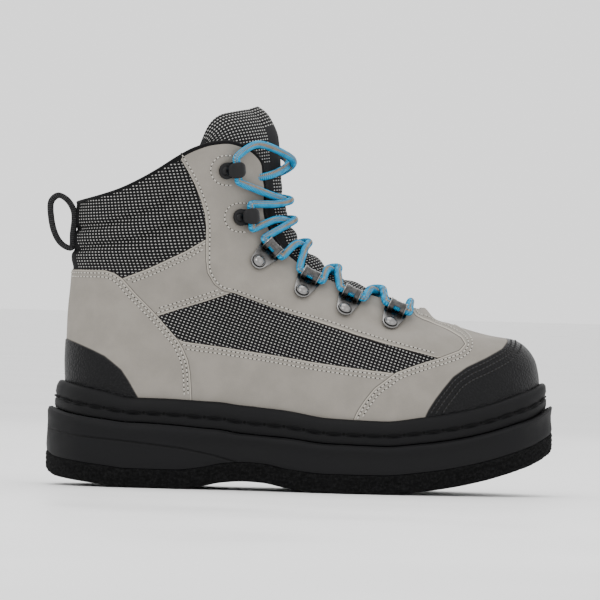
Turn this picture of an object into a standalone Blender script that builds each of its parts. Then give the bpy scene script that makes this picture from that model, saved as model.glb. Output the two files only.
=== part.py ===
"""A felt-soled wading boot for the right foot, toe along +X, outer side along -Y, standing on Z = 0."""

import functools
import math

import bmesh
import bpy
from mathutils import Matrix, Vector

# Driving sizes in metres
SOLE_LENGTH = 0.289
HEEL_REACH = 0.064          # from the middle of the heel's tread back to the end of the sole
BALL_WIDTH = 0.098          # the upper across the ball of the foot
SHAFT_WIDTH = 0.077         # the upper across the ankle
SHAFT_SHARE = 0.78          # width share of a ring that has the full shaft width
UPPER_HEIGHT = 0.157        # from the heel seat to the top of the eyestay
FELT_THICKNESS = 0.011
MIDSOLE_HEEL = 0.0256       # midsole thickness under the heel
CUP_FLOOR = 0.0044
CUP_HEIGHT = 0.015          # the cupsole's band, from the midsole's ledge to its top edge
TOE_SPRING = 0.028
SOLE_MARGIN = 0.010         # how far the felt stands out beyond the upper at the heel
WALL = 0.0024               # the upper's wall
INSOLE_THICKNESS = 0.004
TONGUE_PAD = 0.0065
TONGUE_EDGE = 0.0028
COVER_THICKNESS = 0.0012    # toe cap, counter and eyestays
LACE_DIAMETER = 0.0043
RIVET_DIAMETER = 0.0075
RING_PLATE_WIDTH = 0.0135
RING_PLATE_LENGTH = 0.0138  # from the rivet's centre to the plate's top edge
RING_PLATE_GAUGE = 0.0012
RING_PLATE_CORNER = 0.002
RIVET_DOME = 0.0016
TUNNEL_LENGTH = 0.0100
TUNNEL_SHARE = 0.85         # where the tunnel sits along the plate
HOOK_BASE_LENGTH = 0.0130
HOOK_BASE_WIDTH = 0.0095
HOOK_RISE = 0.0075
HOOK_CORNER = 0.002
HOOK_DOME = 0.0014
LOOP_WIDTH = 0.014
LOOP_GAUGE = 0.0018
CLEARANCE = 0.0003

# How finely the curved pieces are made
COLUMNS = 44
SMOOTH_ANGLE = 40
STEP_TURN = 0.01
STEP_LEVEL = 0.02
PROBE_STEPS = 6             # how the eyestay is felt out under a ring or hook
PROBE_TURN = 0.06
PROBE_LEVEL = 0.2

# Sole, from the back to the toe. Stations are shares of the sole's length, the tread is a share
# of the toe spring, the midsole of its heel thickness and the cup of the cup's height.
SOLE_ROWS = (
    # station, tread, midsole, cup
    (0.000, 0.340, 1.03, 1.15),
    (0.020, 0.196, 1.04, 1.15),
    (0.055, 0.130, 1.01, 1.13),
    (0.120, 0.050, 1.00, 1.05),
    (0.170, 0.000, 1.00, 0.95),
    (0.260, 0.000, 0.96, 1.00),
    (0.310, 0.060, 0.85, 1.03),
    (0.350, 0.150, 0.72, 1.05),
    (0.395, 0.186, 0.61, 1.07),
    (0.430, 0.170, 0.60, 1.06),
    (0.485, 0.065, 0.67, 1.03),
    (0.560, 0.000, 0.65, 0.97),
    (0.665, 0.000, 0.625, 0.95),
    (0.740, 0.075, 0.62, 1.00),
    (0.800, 0.170, 0.615, 1.03),
    (0.860, 0.310, 0.61, 1.06),
    (0.920, 0.500, 0.615, 1.10),
    (0.960, 0.660, 0.60, 1.12),
    (0.990, 0.840, 0.63, 1.15),
    (1.000, 0.920, 0.66, 1.10),
)

# Rings of the last, from the sole up. Lengths are shares of the sole's length, rises of the
# upper's height, widths of half the ball width. The first ring lies on the cup's floor.
RING_ROWS = (
    # level, back, front, back rise, front rise, width, follows the floor, shaft
    (0, 0.0450, 0.9620, 0.024, 0.052, 0.94, 1.00, 0.0),
    (1, 0.0410, 0.9675, 0.105, 0.135, 1.00, 0.95, 0.0),
    (2, 0.0385, 0.9615, 0.197, 0.210, 1.00, 0.55, 0.0),
    (3, 0.0395, 0.9475, 0.274, 0.258, 0.96, 0.30, 0.0),
    (4, 0.0400, 0.9200, 0.338, 0.294, 0.91, 0.15, 0.1),
    (5, 0.0412, 0.8685, 0.389, 0.310, 0.86, 0.05, 0.2),
    (6, 0.0426, 0.8130, 0.427, 0.336, 0.81, 0.00, 0.35),
    (7, 0.0443, 0.7335, 0.468, 0.392, 0.79, 0.00, 0.5),
    (8, 0.0460, 0.6505, 0.516, 0.451, 0.77, 0.00, 0.7),
    (9, 0.0467, 0.5740, 0.567, 0.512, 0.76, 0.00, 0.85),
    (10, 0.0478, 0.5156, 0.612, 0.588, 0.76, 0.00, 1.0),
    (11, 0.0491, 0.4775, 0.656, 0.669, 0.76, 0.00, 1.0),
    (12, 0.0512, 0.4585, 0.701, 0.752, 0.77, 0.00, 1.0),
    (13, 0.0543, 0.4533, 0.745, 0.847, 0.79, 0.00, 1.0),
    (14, 0.0571, 0.4498, 0.796, 0.936, 0.81, 0.00, 1.0),
    (15, 0.0606, 0.4446, 0.885, 1.013, 0.82, 0.00, 1.0),
    (16, 0.0657, 0.4120, 0.981, 1.128, 0.81, 0.00, 1.0),
)

# Levels over which the rings pass from the ball's width to the shaft's
LEAN_FROM = 7
LEAN_LEVELS = 3

# How far each side of a foot ring swells against an ellipse, from its back to its front, and
# how far the foot's middle line bows towards the inner side, as shares of half the ball width.
FOOT_ROWS = (
    # share, outer side, inner side, bow
    (0.00, 1.30, 1.30, 0.00),
    (0.08, 1.13, 1.13, 0.00),
    (0.20, 0.87, 0.84, -0.01),
    (0.35, 0.75, 0.64, -0.02),
    (0.50, 0.90, 0.70, -0.01),
    (0.62, 1.04, 0.90, 0.01),
    (0.72, 1.07, 1.06, 0.04),
    (0.82, 1.10, 1.08, 0.08),
    (0.92, 1.22, 1.18, 0.12),
    (1.00, 1.34, 1.34, 0.15),
)
SHAFT_ROWS = (
    # share, both sides
    (0.00, 0.95),
    (0.30, 1.00),
    (0.60, 1.03),
    (1.00, 0.92),
)

# The throat's half angle, in degrees from the front, rising from the point of its U
THROAT_ROWS = (
    # level, throat, tongue
    (6.4, 0.0, 22.0),
    (7.2, 0.0, 30.0),
    (7.4, 11.0, 36.0),
    (7.7, 20.0, 42.0),
    (8.2, 29.0, 48.0),
    (9.0, 35.0, 53.0),
    (10.5, 38.0, 57.0),
    (12.0, 37.0, 60.0),
    (13.0, 34.0, 65.0),
    (14.5, 30.0, 71.0),
    (16.0, 30.0, 76.0),
)
THROAT_POINT = 7.2
TONGUE_CORNER = 0.6         # levels by which the tongue's top corners are rounded off
TONGUE_SLACK = 11.0         # degrees between the throat's edge and where the tongue swells up
UPPER_LEVELS = (0, 1, 2, 3, 4, 5, 6, 6.6, 7.2, 7.4, 7.7, 8.2, 9, 10, 11)
COLLAR_STEPS = 4
TONGUE_LEVELS = (6.4, 7.2, 7.45, 7.8, 8.3, 9, 10, 11, 12, 13, 14, 15, 15.6, 16)
TONGUE_COLUMNS = 14

# Side views of edges: stations along the sole and rises above the heel seat, as shares
COLLAR_ROWS = (
    (0.040, 0.765),
    (0.069, 0.779),
    (0.096, 0.793),
    (0.135, 0.817),
    (0.174, 0.851),
    (0.213, 0.893),
    (0.252, 0.941),
    (0.282, 0.972),
    (0.317, 0.994),
    (0.345, 1.000),
    (0.370, 0.991),
    (0.388, 0.976),
    (0.401, 0.956),
    (0.410, 0.933),
    (0.418, 0.875),
    (0.440, 0.700),
)
TOE_EDGE = (
    (0.903, 0.340),
    (0.905, 0.291),
    (0.893, 0.266),
    (0.859, 0.231),
    (0.824, 0.200),
    (0.797, 0.165),
    (0.779, 0.123),
    (0.764, 0.085),
    (0.751, 0.046),
)
COUNTER_EDGE = (
    (0.000, 0.300),
    (0.025, 0.283),
    (0.059, 0.253),
    (0.090, 0.230),
    (0.116, 0.208),
    (0.132, 0.186),
    (0.149, 0.161),
    (0.164, 0.121),
    (0.175, 0.085),
)
STAY_REAR = (
    (0.230, 1.100),
    (0.251, 0.937),
    (0.284, 0.835),
    (0.297, 0.777),
    (0.305, 0.729),
    (0.308, 0.681),
    (0.310, 0.563),
    (0.314, 0.519),
    (0.328, 0.479),
    (0.345, 0.457),
    (0.363, 0.451),
)
STAY_LOW = (
    (0.407, 0.423),
    (0.460, 0.389),
    (0.521, 0.355),
    (0.595, 0.314),
    (0.656, 0.282),
    (0.713, 0.257),
    (0.735, 0.270),
    (0.726, 0.330),
    (0.712, 0.375),
    (0.692, 0.410),
    (0.680, 0.520),
    (0.480, 1.100),
)

# Where the overlays' lower edges run along the cupsole, and the outlines' corners clear of the boot
TOE_FOOT = (0.752, 1.03)
TOE_CORNERS = ((1.05, 0.3), (1.0, 0.45), (0.91, 0.45))
COUNTER_FOOT = (0.176, -0.02)
COUNTER_CORNERS = ((-0.02, 0.3),)

# Lacing hardware on each side: where it sits, and which way its loop lies from its rivet
RING_PLACES = (
    # name, rivet station, rivet rise, loop station, loop rise
    ("1", 0.406, 0.553, 0.435, 0.606),
    ("2", 0.493, 0.441, 0.513, 0.510),
    ("3", 0.577, 0.376, 0.595, 0.451),
    ("4", 0.666, 0.328, 0.684, 0.397),
)
HOOK_PLACES = (
    # name, station, rise
    ("1", 0.347, 0.889),
    ("2", 0.376, 0.720),
)
# The hook's arm from its foot up and back down: shares of half the base's length and of its rise
HOOK_ARM = (
    (0.55, 0.053),
    (1.05, 0.053),
    (1.25, 0.500),
    (0.90, 0.920),
    (0.10, 1.000),
    (0.10, 0.827),
    (0.70, 0.780),
    (0.92, 0.480),
)
# Levels where the pairs of strands cross in front of the tongue, from the lowest
CREST_LEVELS = (8.0, 9.2, 10.4, 11.5, 12.4)
# How a strand is guided there: share of its way across, share of its rise, lift over the upper
LACE_GUIDES = (
    (0.22, 0.80, 1.6),
    (0.50, 1.00, 0.8),
    (0.78, 0.80, 1.6),
)
# The top strand's way: station, rise, 1 on its own side and -1 across, lift over the upper
TOP_GUIDES = (
    (0.395, 0.985, 1, 2.2),
    (0.445, 0.945, 1, 1.4),
    (0.452, 0.915, -1, 1.4),
    (0.425, 0.880, -1, 2.6),
)
BAR_LEVEL = 7.3
# The pull loop: levels where it is sewn to the back, then its free middle line in side view
LOOP_LEVELS = (9.7, 10.8, 12.0)
LOOP_LINE = (
    # station, rise
    (0.0430, 0.738),
    (0.0310, 0.771),
    (0.0140, 0.787),
    (0.0010, 0.770),
    (-0.0020, 0.739),
    (0.0030, 0.677),
    (0.0130, 0.631),
    (0.0270, 0.604),
)

# The sole's side, as shares of each layer's height and of the sole's margin
CUP_STEPS = (
    # rise, heel, side, toe
    (0.00, 0.66, 0.46, 0.54),
    (0.08, 0.70, 0.50, 0.58),
    (0.28, 0.70, 0.50, 0.58),
    (0.34, 0.63, 0.43, 0.51),
    (0.46, 0.63, 0.43, 0.51),
    (0.52, 0.68, 0.48, 0.56),
    (0.78, 0.61, 0.46, 0.54),
    (0.95, 0.50, 0.39, 0.49),
    (1.00, 0.40, 0.31, 0.42),
)
MIDSOLE_STEPS = (
    # rise, heel, side, toe
    (0.00, 1.10, 0.74, 0.91),
    (0.10, 1.13, 0.76, 0.94),
    (0.50, 1.09, 0.72, 0.88),
    (0.56, 1.05, 0.68, 0.84),
    (0.62, 1.08, 0.71, 0.87),
    (0.90, 1.10, 0.74, 0.93),
    (1.00, 1.02, 0.66, 0.84),
)
FELT_STEPS = (
    # rise, heel, side, toe
    (0.00, 1.04, 0.68, 0.84),
    (0.14, 1.12, 0.75, 0.94),
    (0.90, 1.12, 0.75, 0.94),
    (1.00, 1.09, 0.72, 0.91),
)

# Colour, roughness and metallic value of each material
MATERIALS = {
    "felt": ((0.012, 0.012, 0.013), 0.95, 0.0),
    "rubber": ((0.024, 0.024, 0.026), 0.70, 0.0),
    "gray_leather": ((0.35, 0.33, 0.29), 0.85, 0.0),
    "black_leather": ((0.015, 0.015, 0.016), 0.50, 0.0),
    "lining": ((0.020, 0.020, 0.021), 0.95, 0.0),
    "gunmetal": ((0.12, 0.12, 0.125), 0.35, 1.0),
    "black_metal": ((0.015, 0.015, 0.015), 0.45, 0.0),
    "lace": ((0.04, 0.14, 0.33), 0.85, 0.0),
    "webbing": ((0.015, 0.015, 0.016), 0.90, 0.0),
}


def between(rows, at, column):
    """Read a table's column at a value of its first column, along a smooth curve with no overshoot."""
    if at <= rows[0][0]:
        return rows[0][column]
    if at >= rows[-1][0]:
        return rows[-1][column]
    index = max(place for place in range(len(rows) - 1) if rows[place][0] <= at)
    low, high = rows[index], rows[index + 1]
    width = high[0] - low[0]
    share = (at - low[0]) / width
    rise = high[column] - low[column]
    start = slope(rows, index, column) * width
    end = slope(rows, index + 1, column) * width
    bend = share * (1 - share)
    return low[column] + rise * share + bend * ((1 - share) * (start - rise) - share * (end - rise))


def slope(rows, index, column):
    """The curve's slope at one row: none at a peak, a dip or a flat, and a fair mean elsewhere."""
    def secant(place):
        return (rows[place + 1][column] - rows[place][column]) / (rows[place + 1][0] - rows[place][0])
    if index == 0:
        return secant(0)
    if index == len(rows) - 1:
        return secant(index - 1)
    before, after = secant(index - 1), secant(index)
    if before * after <= 0:
        return 0.0
    return 2 * before * after / (before + after)


def along(station):
    """X of a station along the sole."""
    return station * SOLE_LENGTH - HEEL_REACH


def station_of(x):
    """Station of an X along the sole, kept within the sole."""
    return min(max((x + HEEL_REACH) / SOLE_LENGTH, 0.0), 1.0)


def seat_height():
    """Height of the cup's floor under the heel."""
    return FELT_THICKNESS + MIDSOLE_HEEL + CUP_FLOOR


def above_seat(rise):
    """Z of a rise on the upper."""
    return seat_height() + rise * UPPER_HEIGHT


def tread(x):
    """Z of the felt's underside."""
    return between(SOLE_ROWS, station_of(x), 1) * TOE_SPRING


def felt_top(x):
    """Z of the felt's upper face."""
    return tread(x) + FELT_THICKNESS


def ledge(x):
    """Z of the midsole's upper face, the step on which the cupsole stands."""
    return felt_top(x) + between(SOLE_ROWS, station_of(x), 2) * MIDSOLE_HEEL


def cup_top(x):
    """Z of the cupsole's top edge."""
    return ledge(x) + between(SOLE_ROWS, station_of(x), 3) * CUP_HEIGHT


def deck(x):
    """Z of the floor inside the upper."""
    return ledge(x) + CUP_FLOOR


@functools.lru_cache(maxsize=None)
def ring(level):
    """One ring of the last: back X, front X, back Z, front Z, half width, floor share, shaft share."""
    back, front, back_rise, front_rise, width, floor, shaft = (
        between(RING_ROWS, level, column) for column in range(1, 8))
    lean = min(max(level - LEAN_FROM, 0) / LEAN_LEVELS, 1)
    half = width * (BALL_WIDTH * (1 - lean) + SHAFT_WIDTH / SHAFT_SHARE * lean) / 2
    return (along(back), along(front), above_seat(back_rise), above_seat(front_rise), half, floor, shaft)


@functools.lru_cache(maxsize=None)
def bare_skin(turn, level):
    """A point of the upper's outer face. Turn 0 is the front, pi the back, minus is the outer side."""
    back, front, back_z, front_z, half, floor, shaft = ring(level)
    share = (1 + math.cos(turn)) / 2
    x = back + (front - back) * share
    line = deck(back) + (deck(front) - deck(back)) * share
    z = back_z + (front_z - back_z) * share + floor * (deck(x) - line)
    if level < 1:
        z = deck(x) + (z - deck(x)) * level
    side = 1 if math.sin(turn) < 0 else 2
    foot = between(FOOT_ROWS, share, side)
    swell = foot + (between(SHAFT_ROWS, share, 1) - foot) * shaft
    bow = between(FOOT_ROWS, share, 3) * (1 - shaft) * BALL_WIDTH / 2
    return Vector((x, bow + math.sin(turn) * half * swell, z))


@functools.lru_cache(maxsize=None)
def outward(turn, level):
    """The way out of the upper's outer face."""
    below = max(level - STEP_LEVEL, 0)
    above = min(level + STEP_LEVEL, RING_ROWS[-1][0])
    around = bare_skin(turn + STEP_TURN, level) - bare_skin(turn - STEP_TURN, level)
    upward = bare_skin(turn, above) - bare_skin(turn, below)
    return around.cross(upward).normalized()


def skin(turn, level, proud=0.0):
    """A point that stands proud of the upper's outer face, or inside it where proud is minus."""
    return bare_skin(turn, level) + outward(turn, level) * proud


def throat(level):
    """The throat's half angle at a level."""
    return math.radians(between(THROAT_ROWS, level, 1))


def turn_of(column, level):
    """Turn of one column of the upper, from one edge of the throat round the back to the other."""
    edge = throat(level)
    return edge + (2 * math.pi - 2 * edge) * column / COLUMNS


def bisect(low, high, is_above):
    """The value between low and high where a test turns true."""
    for _ in range(26):
        middle = (low + high) / 2
        if is_above(middle):
            high = middle
        else:
            low = middle
    return (low + high) / 2


def level_at(turn, height):
    """Level where a turn's line up the upper reaches a height that is a function of X."""
    def is_above(level):
        point = bare_skin(turn, level)
        return point.z > height(point.x)
    return bisect(0.0, 8.0, is_above)


def collar_level(column):
    """Level where a column of the upper meets the collar's edge."""
    def is_above(level):
        point = bare_skin(turn_of(column, level), level)
        return point.z > above_seat(between(COLLAR_ROWS, station_of(point.x), 1))
    return bisect(UPPER_LEVELS[-1], 15.5, is_above)


def place(station, rise, side):
    """Turn and level of a spot given in side view. Side is -1 for the outer side, 1 for the inner."""
    x, z = along(station), above_seat(rise)

    def turn_at(level):
        back, front = ring(level)[:2]
        share = min(max((x - back) / (front - back), 0.0), 1.0)
        return side * math.acos(2 * share - 1)

    level = bisect(0.0, 15.9, lambda level: bare_skin(turn_at(level), level).z > z)
    return turn_at(level), level


def make_object(name, mesh, material):
    """Put a mesh in the boot's collection under its name and material."""
    thing = bpy.data.objects.new(name, mesh)
    thing.data.materials.clear()
    thing.data.materials.append(bpy.data.materials[material])
    bpy.data.collections["wading_boot"].objects.link(thing)
    mesh.shade_smooth()
    mesh.set_sharp_from_angle(angle=math.radians(SMOOTH_ANGLE))
    return thing


def finish_mesh(name, builder):
    """Weld, orient and return a bmesh as a mesh."""
    bmesh.ops.remove_doubles(builder, verts=builder.verts, dist=0.00001)
    bmesh.ops.triangulate(builder, faces=[face for face in builder.faces if len(face.verts) > 3])
    bmesh.ops.recalc_face_normals(builder, faces=builder.faces)
    mesh = bpy.data.meshes.new(name)
    builder.to_mesh(mesh)
    builder.free()
    return mesh


def add_row(builder, points):
    """Add one row of vertices."""
    return [builder.verts.new(point) for point in points]


def join_rows(builder, lower, upper, closed):
    """Fill between two rows of vertices, all the way round where they are closed."""
    count = len(lower)
    for index in range(count if closed else count - 1):
        following = (index + 1) % count
        corners = (lower[index], lower[following], upper[following], upper[index])
        if len({tuple(round(value, 6) for value in corner.co) for corner in corners}) > 2:
            builder.faces.new(corners)


def cap_loop(builder, loop):
    """Close a loop of vertices with strips across from one side to the other."""
    half = len(loop) // 2
    builder.faces.new((loop[0], loop[1], loop[-1]))
    for index in range(1, half - 1):
        builder.faces.new((loop[index], loop[index + 1], loop[-index - 1], loop[-index]))
    builder.faces.new((loop[half - 1], loop[half], loop[half + 1]))


def stack_of_loops(name, loops):
    """A closed solid from loops of points, one on the next, with both ends capped."""
    builder = bmesh.new()
    rows = [add_row(builder, loop) for loop in loops]
    for lower, upper in zip(rows, rows[1:]):
        join_rows(builder, lower, upper, closed=True)
    cap_loop(builder, rows[0])
    cap_loop(builder, rows[-1])
    return finish_mesh(name, builder)


def loop_turns():
    """The turns of a closed loop's vertices."""
    return [2 * math.pi * index / COLUMNS for index in range(COLUMNS)]


def margin_at(turn, heel, side, toe):
    """A sole step's stand-out, as shares of the margin at the heel, sides and toe."""
    back = ((1 - math.cos(turn)) / 2) ** 3
    front = ((1 + math.cos(turn)) / 2) ** 3
    return (side + (heel - side) * back + (toe - side) * front) * SOLE_MARGIN


def sole_point(turn, heel, side, toe):
    """A spot of the sole's outline in plan, standing out from the upper's widest ring."""
    around = bare_skin(turn + STEP_TURN, 1) - bare_skin(turn - STEP_TURN, 1)
    out = Vector((around.y, -around.x, 0)).normalized()
    spot = bare_skin(turn, 1) + out * margin_at(turn, heel, side, toe)
    return spot.x, spot.y


def layer_loops(steps, bottom, top):
    """The outer loops of a sole layer between two heights that are functions of X."""
    loops = []
    for rise, heel, side, toe in steps:
        loop = []
        for turn in loop_turns():
            x, y = sole_point(turn, heel, side, toe)
            low, high = bottom(x), top(x)
            loop.append((x, y, low + (high - low) * rise))
        loops.append(loop)
    return loops


def make_sole_layer(name, steps, bottom, top, material):
    """One solid layer of the sole."""
    return make_object(name, stack_of_loops(name, layer_loops(steps, bottom, top)), material)


def make_cupsole():
    """The dish that holds the upper: ribbed band outside, upper's own form inside, thin floor."""
    loops = layer_loops(CUP_STEPS, lambda x: ledge(x) + 2 * CLEARANCE, cup_top)
    inner_steps = 4
    for step in range(inner_steps + 1):
        loop = []
        for turn in loop_turns():
            top_level = level_at(turn, cup_top)
            level = top_level * (1 - step / inner_steps)
            spot = skin(turn, level, CLEARANCE)
            if step == inner_steps:
                spot.z = deck(spot.x) - CLEARANCE
            loop.append(spot)
        loops.append(loop)
    return make_object("cupsole", stack_of_loops("cupsole", loops), "rubber")


def make_insole():
    """The footbed, lying on the cup's floor within the upper's wall."""
    def under(x):
        return deck(x) + CLEARANCE

    def lift(x):
        return deck(x) + CLEARANCE + INSOLE_THICKNESS

    loops = []
    for height in (under, lift):
        loop = []
        for turn in loop_turns():
            spot = skin(turn, level_at(turn, height), -WALL - 3 * CLEARANCE)
            spot.z = height(spot.x)
            loop.append(spot)
        loops.append(loop)
    return make_object("insole", stack_of_loops("insole", loops), "lining")


@functools.lru_cache(maxsize=None)
def upper_spots():
    """Turn and level of every vertex of the upper, row by row, its last row on the collar's edge."""
    rows = []
    for level in UPPER_LEVELS:
        rows.append([(turn_of(column, level), level) for column in range(COLUMNS + 1)])
    tops = [collar_level(column) for column in range(COLUMNS + 1)]
    for step in range(1, COLLAR_STEPS + 1):
        row = []
        for column, top in enumerate(tops):
            level = UPPER_LEVELS[-1] + (top - UPPER_LEVELS[-1]) * step / COLLAR_STEPS
            row.append((turn_of(column, level), level))
        rows.append(row)
    return rows


def shell_mesh(name, inner, outer):
    """The upper's form as a wall between two stand-offs, open below, at the throat and at the collar."""
    builder = bmesh.new()
    spots = upper_spots()
    outside = [add_row(builder, [skin(turn, level, outer) for turn, level in row]) for row in spots]
    inside = [add_row(builder, [skin(turn, level, inner) for turn, level in row]) for row in spots]
    for lower, upper in zip(outside, outside[1:]):
        join_rows(builder, lower, upper, closed=False)
    for lower, upper in zip(inside, inside[1:]):
        join_rows(builder, upper, lower, closed=False)
    join_rows(builder, inside[0], outside[0], closed=False)
    join_rows(builder, outside[-1], inside[-1], closed=False)
    first_open = UPPER_LEVELS.index(THROAT_POINT)
    for column in (0, COLUMNS):
        out_edge = [row[column] for row in outside[first_open:]]
        in_edge = [row[column] for row in inside[first_open:]]
        if column == 0:
            join_rows(builder, in_edge, out_edge, closed=False)
        else:
            join_rows(builder, out_edge, in_edge, closed=False)
    return finish_mesh(name, builder)


def make_upper():
    """The hollow upper, a real wall from the cup's floor to the collar."""
    return make_object("upper", shell_mesh("upper", -WALL, 0.0), "gray_leather")


def make_prism(name, outline, low_y, high_y):
    """A cutter: an outline in side view, pushed from one Y to another."""
    builder = bmesh.new()
    points = [(along(station), above_seat(rise)) for station, rise in outline]
    near = [builder.verts.new((x, low_y, z)) for x, z in points]
    face = builder.faces.new(near)
    pushed = bmesh.ops.extrude_face_region(builder, geom=[face])
    moved = [item for item in pushed["geom"] if isinstance(item, bmesh.types.BMVert)]
    bmesh.ops.translate(builder, verts=moved, vec=(0, high_y - low_y, 0))
    cutter = bpy.data.objects.new(name, finish_mesh(name, builder))
    bpy.data.collections["cutters"].objects.link(cutter)
    cutter.hide_render = True
    cutter.display_type = "WIRE"
    return cutter


def make_cover(name, outline, low_y, high_y, material):
    """An overlay on the upper, cut out of a slightly larger form of it."""
    inner = CLEARANCE
    thing = make_object(name, shell_mesh(name, inner, inner + COVER_THICKNESS), material)
    cut = thing.modifiers.new("outline", "BOOLEAN")
    cut.operation = "INTERSECT"
    cut.object = make_prism(name + "_outline", outline, low_y, high_y)
    return thing


def above_cup(first, last, count=14):
    """A line in side view that runs just above the cupsole's top edge."""
    line = []
    for index in range(count + 1):
        station = first + (last - first) * index / count
        rise = (cup_top(along(station)) + 2 * CLEARANCE - seat_height()) / UPPER_HEIGHT
        line.append((station, rise))
    return line


def make_covers():
    """Toe cap, heel counter and the two eyestays."""
    reach = BALL_WIDTH
    toe = list(TOE_EDGE[:-1]) + above_cup(*TOE_FOOT) + list(TOE_CORNERS)
    make_cover("toe_cap", toe, -reach, reach, "black_leather")
    heel = list(COUNTER_EDGE[:-1]) + above_cup(*COUNTER_FOOT) + list(COUNTER_CORNERS)
    make_cover("heel_counter", heel, -reach, reach, "black_leather")
    stay = STAY_REAR + STAY_LOW
    make_cover("eyestay_outer", stay, -reach, -CLEARANCE, "gray_leather")
    make_cover("eyestay_inner", stay, CLEARANCE, reach, "gray_leather")


def tongue_face(share, level):
    """Turn and stand-off of the tongue's face: level with the upper between the eyestays."""
    half = math.radians(between(THROAT_ROWS, level, 2))
    turn = share * half
    edge = throat(level)
    under = -(WALL + 4 * CLEARANCE)
    inner_edge = edge - math.radians(TONGUE_SLACK)
    if abs(turn) >= inner_edge or inner_edge <= 0:
        return turn, under
    return turn, under * (1 - math.cos(math.pi / 2 * abs(turn) / inner_edge))


def make_tongue():
    """The padded tongue, full between the eyestays, thin where it tucks under them, round at the top."""
    builder = bmesh.new()
    faces, backs = [], []
    for base_level in TONGUE_LEVELS:
        face_row, back_row = [], []
        for column in range(TONGUE_COLUMNS + 1):
            share = 2 * column / TONGUE_COLUMNS - 1
            corner = max(abs(share) - 0.75, 0) / 0.25
            drop = TONGUE_CORNER * corner ** 2 * max(base_level - 14, 0) / 2
            level = base_level - drop
            turn, proud = tongue_face(share, level)
            gauge = TONGUE_EDGE + (TONGUE_PAD - TONGUE_EDGE) * (1 - share ** 2) ** 0.8
            if base_level == TONGUE_LEVELS[-1]:
                proud -= gauge * 0.25
                gauge *= 0.5
            face_row.append(skin(turn, level, proud))
            back_row.append(skin(turn, level, proud - gauge))
        faces.append(add_row(builder, face_row))
        backs.append(add_row(builder, back_row))
    for lower, upper in zip(faces, faces[1:]):
        join_rows(builder, lower, upper, closed=False)
    for lower, upper in zip(backs, backs[1:]):
        join_rows(builder, upper, lower, closed=False)
    join_rows(builder, backs[0], faces[0], closed=False)
    join_rows(builder, faces[-1], backs[-1], closed=False)
    for column in (0, TONGUE_COLUMNS):
        join_rows(builder, [row[column] for row in faces], [row[column] for row in backs], closed=False)
    return make_object("tongue", finish_mesh("tongue", builder), "lining")


def seat_on_stay(turn, level, heading, half_width, length):
    """A frame whose XY plane just clears the eyestay: Z out of its face, Y along the heading."""
    out = outward(turn, level)
    ahead = (heading - out * heading.dot(out)).normalized()
    across = ahead.cross(out)
    turned = Matrix((across, ahead, out)).transposed().to_4x4()
    seat = Matrix.Translation(skin(turn, level)) @ turned
    highest = 0.0
    for step in range(-PROBE_STEPS, PROBE_STEPS + 1):
        for rise in range(-PROBE_STEPS, PROBE_STEPS + 1):
            face = skin(turn + step * PROBE_TURN, level + rise * PROBE_LEVEL, CLEARANCE + COVER_THICKNESS)
            spot = seat.inverted() @ face
            if abs(spot.x) < half_width and abs(spot.y) < length / 2:
                highest = max(highest, spot.z)
    return seat @ Matrix.Translation((0, 0, highest + 2 * CLEARANCE))


def combine(thing, operation, other):
    """Join a solid to another or cut it out of it, and keep only the first."""
    change = thing.modifiers.new(operation.lower(), "BOOLEAN")
    change.operation = operation
    change.object = other
    other.hide_render = True
    other.display_type = "WIRE"
    bpy.data.collections["wading_boot"].objects.unlink(other)
    bpy.data.collections["cutters"].objects.link(other)


def round_bar(name, material, radius, length, sides, at=(0, 0, 0), along_x=False, tip=None):
    """A round bar, standing on its end or lying along X."""
    builder = bmesh.new()
    bmesh.ops.create_cone(builder, cap_ends=True, segments=sides, radius1=radius,
                          radius2=radius if tip is None else tip, depth=length)
    if along_x:
        bmesh.ops.rotate(builder, verts=builder.verts, matrix=Matrix.Rotation(math.pi / 2, 3, "Y"))
    bmesh.ops.translate(builder, verts=builder.verts, vec=at)
    return make_object(name, finish_mesh(name, builder), material)


def flat_plate(name, material, outline, gauge):
    """A flat plate from its outline, standing on Z = 0."""
    curve = bpy.data.curves.new(name, "CURVE")
    curve.dimensions = "2D"
    curve.fill_mode = "BOTH"
    curve.extrude = gauge / 2
    spline = curve.splines.new("POLY")
    spline.points.add(len(outline) - 1)
    spline.use_cyclic_u = True
    for point, (x, y) in zip(spline.points, outline):
        point.co = (x, y, 0, 1)
    sheet = bpy.data.objects.new(name, curve)
    bpy.data.collections["wading_boot"].objects.link(sheet)
    bpy.context.view_layer.update()
    graph = bpy.context.evaluated_depsgraph_get()
    builder = bmesh.new()
    builder.from_mesh(bpy.data.meshes.new_from_object(sheet.evaluated_get(graph)))
    bpy.data.objects.remove(sheet)
    bmesh.ops.translate(builder, verts=builder.verts, vec=(0, 0, gauge / 2))
    return make_object(name, finish_mesh(name, builder), material)


def arc(center, radius, start, end, steps):
    """Points of an arc, its angles in degrees."""
    points = []
    for index in range(steps + 1):
        angle = math.radians(start + (end - start) * index / steps)
        points.append((center[0] + radius * math.cos(angle), center[1] + radius * math.sin(angle)))
    return points


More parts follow.
